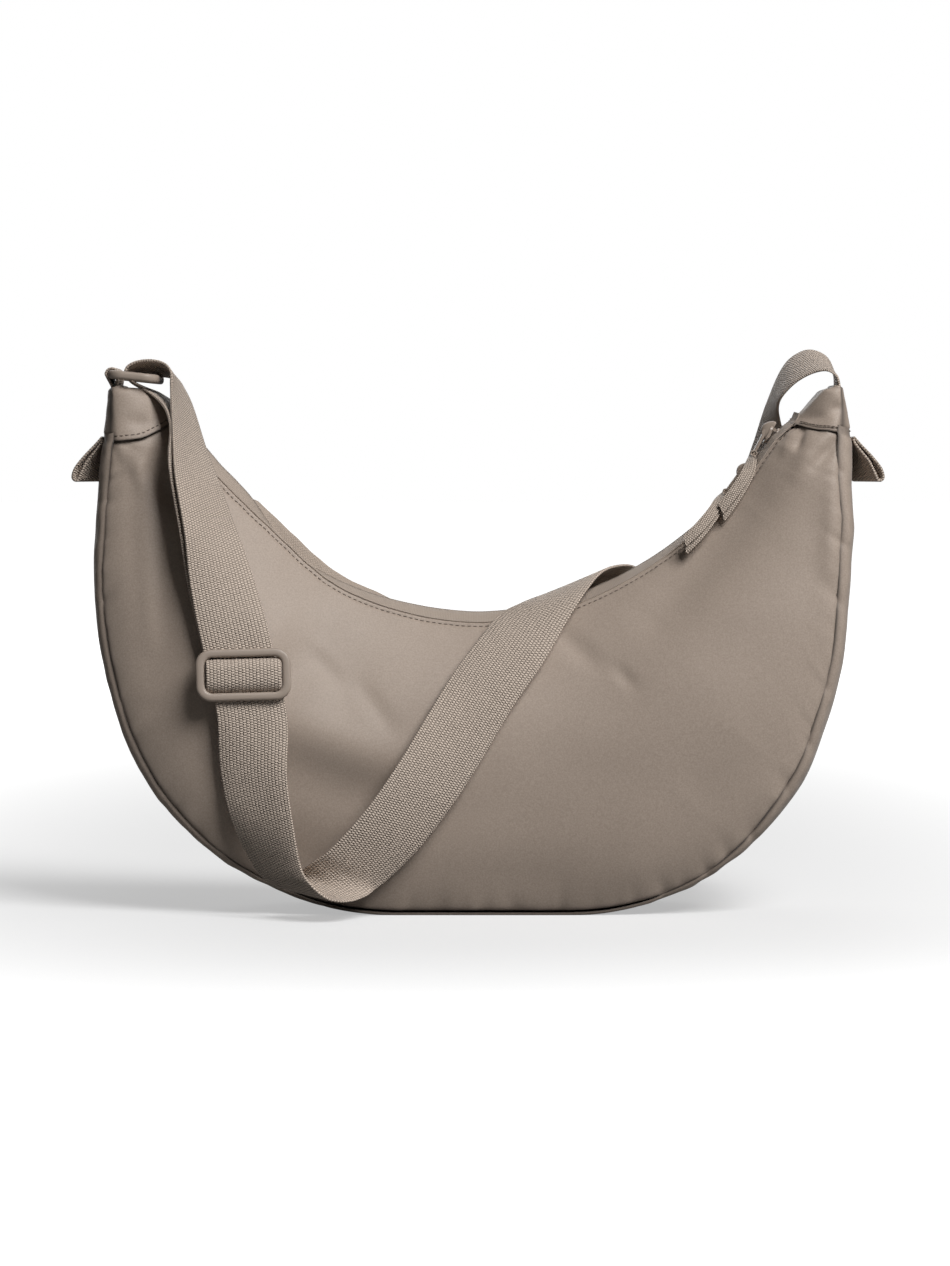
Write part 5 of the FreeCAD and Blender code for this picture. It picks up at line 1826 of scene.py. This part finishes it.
@dataclass
class Zip:
    """Tapes, coil, sliders, pull tabs and ribbons along the rim."""

    form: BagForm
    wardrobe: Wardrobe
    coil_set: float = 0.6
    tooth_pitch: float = 1.3
    tooth_size: Triple = (0.95, 3.6, 1.7)
    tooth_aside: float = 1.35
    stop_size: Triple = (2.4, 6.0, 2.6)
    stop_edge: float = 0.7
    stop_turn: float = 0.03
    stop_sink: float = 1.4
    tape_span: Pair = (430.0, 11.0)
    tape_thickness: float = 0.7
    tape_set: float = 0.3
    tape_tuck: float = 0.6
    ridge_height: float = 1.1
    crown_radius: float = 180.3
    channel_rise: float = 1.2
    tab_length: float = 13.4
    end_drop: float = 13.2
    slider_gap: float = 27.0
    end_gap: float = 0.6
    ribbon_width: float = 6.3
    ribbon_length: float = 36.0
    ribbon_thickness: float = 0.9
    eye_radius: float = 1.6
    tail_gap: float = 0.75
    tail_fan: float = 0.26
    tail_slant: float = 1.3
    slider_half_width: float = 4.6
    crown_length: float = 11.5
    crown_width: float = 7.0
    crown_height: float = 6.6
    crown_seat: float = 0.4
    crown_shift: float = 2.0
    tab_overhang: float = 3.4
    tab_edge: float = 0.8
    tab_thickness: float = 1.9
    tab_width: float = 5.6

    def build(self) -> None:
        """Build and dress the zip."""
        self.half_angle = self.form.seam_angle - self.end_gap / self.form.rim_radius
        self.tapes()
        self.coils()
        end = self.half_angle - self.end_drop / self.form.rim_radius
        lead = end - self.slider_gap / self.form.rim_radius
        self.ribbon("end", end, END_RIBBON)
        self.ribbon("lead", lead, LEAD_RIBBON)
        for name, angle in (("lead", lead), ("end", end)):
            self.crown(name, angle)
            self.tab(name, angle)
        self.stops()
        for name in ("lead_slider", "end_slider"):
            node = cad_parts[name]
            for holder in node.material_slots:
                holder.material = self.wardrobe.metal
            LOG.info("%s: kept from the frame", name)

    def channel(self, angle: float) -> float:
        """Depth of the coil below the settled rim, which leaves room where the lead slider's run ends."""
        degrees = math.degrees(angle)
        share = smooth(-50.0, -31.0, degrees) * (1.0 - smooth(-22.0, -2.0, degrees))
        return share * max(0.0, self.form.rim_radius - self.channel_rise - self.form.rim_at(angle))

    def stand(self, angle: float, sink: float) -> Matrix:
        """Place on the zip's line at an angle, sunk below it by a few millimetres."""
        spot = self.form.place(angle, self.form.rim_at(angle) + self.coil_set + sink, 0.0)
        return Matrix.Translation(spot * MILLIMETRE) @ Matrix.Rotation(-angle, 4, "Y")

    def stops(self) -> None:
        """Clamp a small metal stop over the coil at each end of the zip."""
        stop = block("stop", self.stop_size, Matrix.Identity(4), self.stop_edge)
        ends = (-self.half_angle + self.stop_turn, self.half_angle - self.stop_turn)
        piece = copies("end_stops", stop, [self.stand(angle, self.stop_sink) for angle in ends])
        shade(piece, 60.0)
        hand_over(piece, self.wardrobe.metal, Slot.METAL, nodes=["zip_end_stops"])

    def tapes(self) -> None:
        """Build the two tapes that fall from the coil to the folded rims."""
        for name, side, node in (("front_tape", Side.FRONT, "zip_tape_front"),
                                 ("back_tape", Side.BACK, "zip_tape_back")):

            def place(along: float, across: float, side: Side = side) -> Vector:
                """Point of a tape for shares along it and from the coil outwards."""
                angle = lerp(-self.half_angle - 0.02, self.half_angle + 0.02, along)
                depth = lerp(2.0, self.form.mouth_half_width + self.tape_tuck, across)
                room = self.channel(angle)
                ridge = smooth(0.0, 1.6, room) if side is Side.BACK else 0.0
                climb = smooth(0.3, 0.62, across) if side is Side.BACK else smooth(0.12, 0.95, across)
                fall = (self.form.fall_at(angle) + self.tape_tuck) * smooth(0.6 * ridge, 1.25, across)
                fall += room * (1.0 - climb) - self.ridge_height * ridge * bell(across - 0.68, 0.2)
                reach = self.form.rim_at(angle) + self.coil_set + self.tape_set + fall
                return self.form.place(angle, reach, side.value * depth)

            piece = grid(name, 200, 16, place, self.tape_span)
            thicken(piece, self.tape_thickness)
            face_out(piece)
            shade(piece)
            hand_over(piece, self.wardrobe.tape, Slot.TAPE, nodes=[node])

    def coils(self) -> None:
        """Repeat one tooth along each side of the coil."""
        count = int(2 * self.half_angle * self.form.rim_radius / self.tooth_pitch)
        for name, side, node, shift in (("front_teeth", Side.FRONT, "zip_coil_front", 0.25),
                                        ("back_teeth", Side.BACK, "zip_coil_back", 0.75)):
            aside = Matrix.Translation((0.0, side.value * self.tooth_aside, 0.0))
            tooth = bead(aside @ Matrix.Diagonal((*self.tooth_size, 1.0)))
            angles = [lerp(-self.half_angle, self.half_angle, (index + shift) / count)
                      for index in range(count)]
            piece = copies(name, tooth, [self.stand(angle, self.channel(angle)) for angle in angles])
            shade(piece, 80.0)
            hand_over(piece, self.wardrobe.coil, Slot.COIL, nodes=[node])

    def on_slider(self, angle: float, along: float, reach: float) -> Matrix:
        """Place in millimetres along a slider at an angle, at a reach from the rim's centre."""
        turn = Matrix.Translation((0.0, 0.0, self.form.centre)) @ Matrix.Rotation(-angle, 4, "Y")
        return turn @ Matrix.Translation((along, 0.0, -reach))

    def crown(self, name: str, angle: float) -> None:
        """Build the rounded bridge on top of a slider."""
        deselect()
        bpy.ops.mesh.primitive_cube_add(size=1.0)
        piece = bpy.context.object
        piece.name = piece.data.name = name + "_slider_crown"
        select_faces(piece)
        bpy.ops.mesh.subdivide(number_cuts=3)
        deselect()
        for vertex in piece.data.vertices:
            along, across, up = vertex.co * 2.0
            top = 0.5 * (up + 1.0)
            dome = math.sqrt((1.0 - (0.94 * along) ** 2) * (1.0 - (0.8 * across) ** 2))
            vertex.co = Vector((along * self.crown_length / 2,
                                across * self.crown_width / 2 * (1.0 - 0.2 * top),
                                self.crown_height * top * dome))
        place = self.on_slider(angle, self.crown_shift, self.form.rim_radius - self.crown_seat)
        piece.data.transform(Matrix.Scale(MILLIMETRE, 4) @ place)
        subdivide(piece, 2)
        shade(piece, 60.0)
        hand_over(piece, self.wardrobe.metal, Slot.METAL, name + "_slider")

    def tab(self, name: str, angle: float) -> None:
        """Build the rounded pull tab that hangs from a slider's crown."""
        size = (self.tab_length + self.tab_overhang, self.tab_width, self.tab_thickness)
        place = self.on_slider(angle, -self.tab_length / 2, self.crown_radius)
        piece = block(name + "_tab_bar", size, place, self.tab_edge, 4)
        hand_over(piece, self.wardrobe.metal, Slot.METAL, name + "_tab", [name + "_pull_tab"])

    def ribbon(self, name: str, angle: float, route: Sequence[RibbonRow]) -> None:
        """Build a ribbon looped through a tab's eye with its two tails lying together.

        Args:
            name: Which slider carries it.
            angle: The slider's angle about the rim's centre.
            route: Rows of shares along, forwards and down, with a direction across the ribbon.
        """
        turn = Matrix.Rotation(-angle, 4, "Y")
        centre = Vector((0.0, 0.0, self.form.centre))
        tails = []
        for offset, extra, fan in ((self.tail_gap, 0.0, self.tail_fan),
                                   (-self.tail_gap, 0.06, -self.tail_fan)):
            edges = []
            for along, forward, down, across in route[1:]:
                run = self.tab_length + 1.0 + (along + extra * along) * self.ribbon_length
                swing = -run / self.form.rim_radius
                reach = self.crown_radius + down * self.slider_half_width
                tangent, inward = heading(swing), heading(swing + math.pi / 2)
                side = (tangent * across[0] + ACROSS * across[1] + inward * across[2]).normalized()
                spot = inward * -reach - ACROSS * (forward * self.form.mouth_half_width)
                spot += tangent.cross(side).normalized() * offset + side * (fan * along * self.ribbon_width)
                slant = tangent * (self.tail_slant * smooth(0.9, 1.0, along))
                edges.append(pair_at(spot, side * (self.ribbon_width / 2) + slant))
            tails.append(edges)
        eye = Vector((-self.tab_length, 0.0, -self.crown_radius))
        half = ACROSS * (self.ribbon_width / 2 - 0.4)
        bend = []
        for step in range(5):
            roll = math.pi * (0.75 - step * 0.375)
            bend.append(pair_at(eye + heading(roll) * self.eye_radius, half))
        edges = list(reversed(tails[0])) + bend + tails[1]
        edges = [tuple(turn @ point + centre for point in pair) for pair in edges]
        piece = WebbingBand(self.ribbon_width, self.ribbon_thickness, 6).lay(name + "_ribbon_puller", edges)
        hand_over(piece, self.wardrobe.ribbon, Slot.RIBBON, name + "_puller", [name + "_ribbon"])


@dataclass
class Studio:
    """Floor, lights and camera of the portrait."""

    distance: float = 2.25
    tilt: float = 2.5
    aim: Triple = (-0.0017, 0.0, 0.1540)
    light_aim: Triple = (0.0, 0.0, 0.15)
    view_width: float = 0.532
    key: float = 112.0
    side: float = 9.0
    fill: float = 0.5
    back: float = 42.0
    ambient: float = 0.022
    # For the camera only the floor glows from near_glow by the bag, a painted soft shadow round it, up to
    # far_glow in the background; the camera sees its colour as floor_tone, the lamps' light bounces off it as
    # bounce.
    floor_tone: float = 0.42
    near_glow: float = 0.44
    far_glow: float = 1.1
    fade_start: float = 0.15
    fade_end: float = 0.85
    far_share: float = 0.33
    bounce: float = 0.22

    def build(self) -> None:
        """Set up the floor, the lights and the camera."""
        self.floor()
        self.lights()
        self.camera()

    def floor(self) -> None:
        """Lay a pale floor that throws little light back; for the camera only it glows, dimmer near the bag as
        a painted soft shadow, fading up to white into the background.
        """
        deselect()
        bpy.ops.mesh.primitive_plane_add(size=40.0)
        floor = bpy.context.object
        floor.name = "studio_floor"
        material = bpy.data.materials.new("pale_floor")
        material.use_nodes = True
        board = NodeBoard(material.node_tree)
        shader = material.node_tree.nodes["Principled BSDF"]
        seen = board.add("ShaderNodeLightPath").outputs["Is Camera Ray"]
        spot = board.add("ShaderNodeTexCoord").outputs["Object"]
        split = board.feed(board.add("ShaderNodeSeparateXYZ"), {0: spot})
        behind = board.math("MULTIPLY", split.outputs["Y"], self.far_share)
        depth = board.math("MAXIMUM", behind, board.math("MULTIPLY", split.outputs["Y"], -1.0))
        square = board.math("ADD", board.math("POWER", board.math("ABSOLUTE", split.outputs["X"]), 2.0),
                            board.math("POWER", depth, 2.0))
        # Painted shade: the glow is dimmest near the bag and rises away from it.
        fade = board.add("ShaderNodeMapRange", interpolation_type="SMOOTHSTEP")
        board.feed(fade, {"Value": board.math("SQRT", square), "From Min": self.fade_start,
                          "From Max": self.fade_end, "To Min": self.near_glow, "To Max": self.far_glow})
        board.feed(shader, {"Base Color": board.blend(seen, (self.bounce,) * 3, (self.floor_tone,) * 3),
                            "Emission Strength": board.math("MULTIPLY", seen, fade.outputs["Result"]),
                            "Emission Color": (1.0, 1.0, 1.0, 1.0), "Roughness": 0.9,
                            "Specular IOR Level": 0.0})
        floor.data.materials.append(material)

    @staticmethod
    def point(holder: Piece, spot: Vector, aim: Vector) -> None:
        """Stand a light or a camera at a spot and point it at an aim."""
        holder.location = spot
        holder.rotation_euler = (aim - spot).to_track_quat("-Z", "Y").to_euler()

    def lights(self) -> None:
        """Hang a soft key above on the right, weaker lights around and a white background."""
        for name, spot, size, power in (("key", (1.32, -1.76, 2.32), 1.5, self.key),
                                        ("side", (2.7, -0.5, 0.9), 1.2, self.side),
                                        ("fill", (-2.7, -0.9, 0.7), 1.6, self.fill),
                                        ("back", (-0.9, 3.0, 1.5), 2.6, self.back)):
            lamp = bpy.data.lights.new(name, "AREA")
            lamp.shape, lamp.size, lamp.energy = "SQUARE", size, power
            self.point(place_new(name, lamp), Vector(spot), Vector(self.light_aim))
        world = bpy.data.worlds.new("studio")
        world.use_nodes = True
        board = NodeBoard(world.node_tree)
        seen = board.add("ShaderNodeLightPath").outputs["Is Camera Ray"]
        back = world.node_tree.nodes["Background"]
        level = board.math("ADD", board.math("MULTIPLY", seen, 1.0 - self.ambient), self.ambient)
        board.feed(back, {"Strength": level, "Color": (1.0, 1.0, 1.0, 1.0)})
        bpy.context.scene.world = world
        bpy.context.scene.view_settings.view_transform = "Standard"

    def camera(self) -> None:
        """Stand the camera straight in front and a little above, as far off as the portrait's lens asks."""
        tilt = math.radians(self.tilt)
        aim = Vector(self.aim)
        away = Vector((0.0, -math.cos(tilt), math.sin(tilt)))
        lens = bpy.data.cameras.new("portrait")
        lens.sensor_fit = "HORIZONTAL"
        lens.sensor_width = 36.0
        lens.lens = lens.sensor_width * self.distance / self.view_width
        lens.clip_end = 60.0
        holder = place_new("portrait", lens)
        self.point(holder, aim + away * self.distance, aim)
        bpy.context.scene.camera = holder


def main() -> None:
    """Build the bag's sub-assemblies and the studio."""
    logging.basicConfig(level=logging.INFO, format="%(message)s")
    wardrobe = Wardrobe()
    Shell(FORM, wardrobe).build()
    Zip(FORM, wardrobe).build()
    Strap(FORM, wardrobe).build()
    Studio().build()


if __name__ == "__main__":
    main()
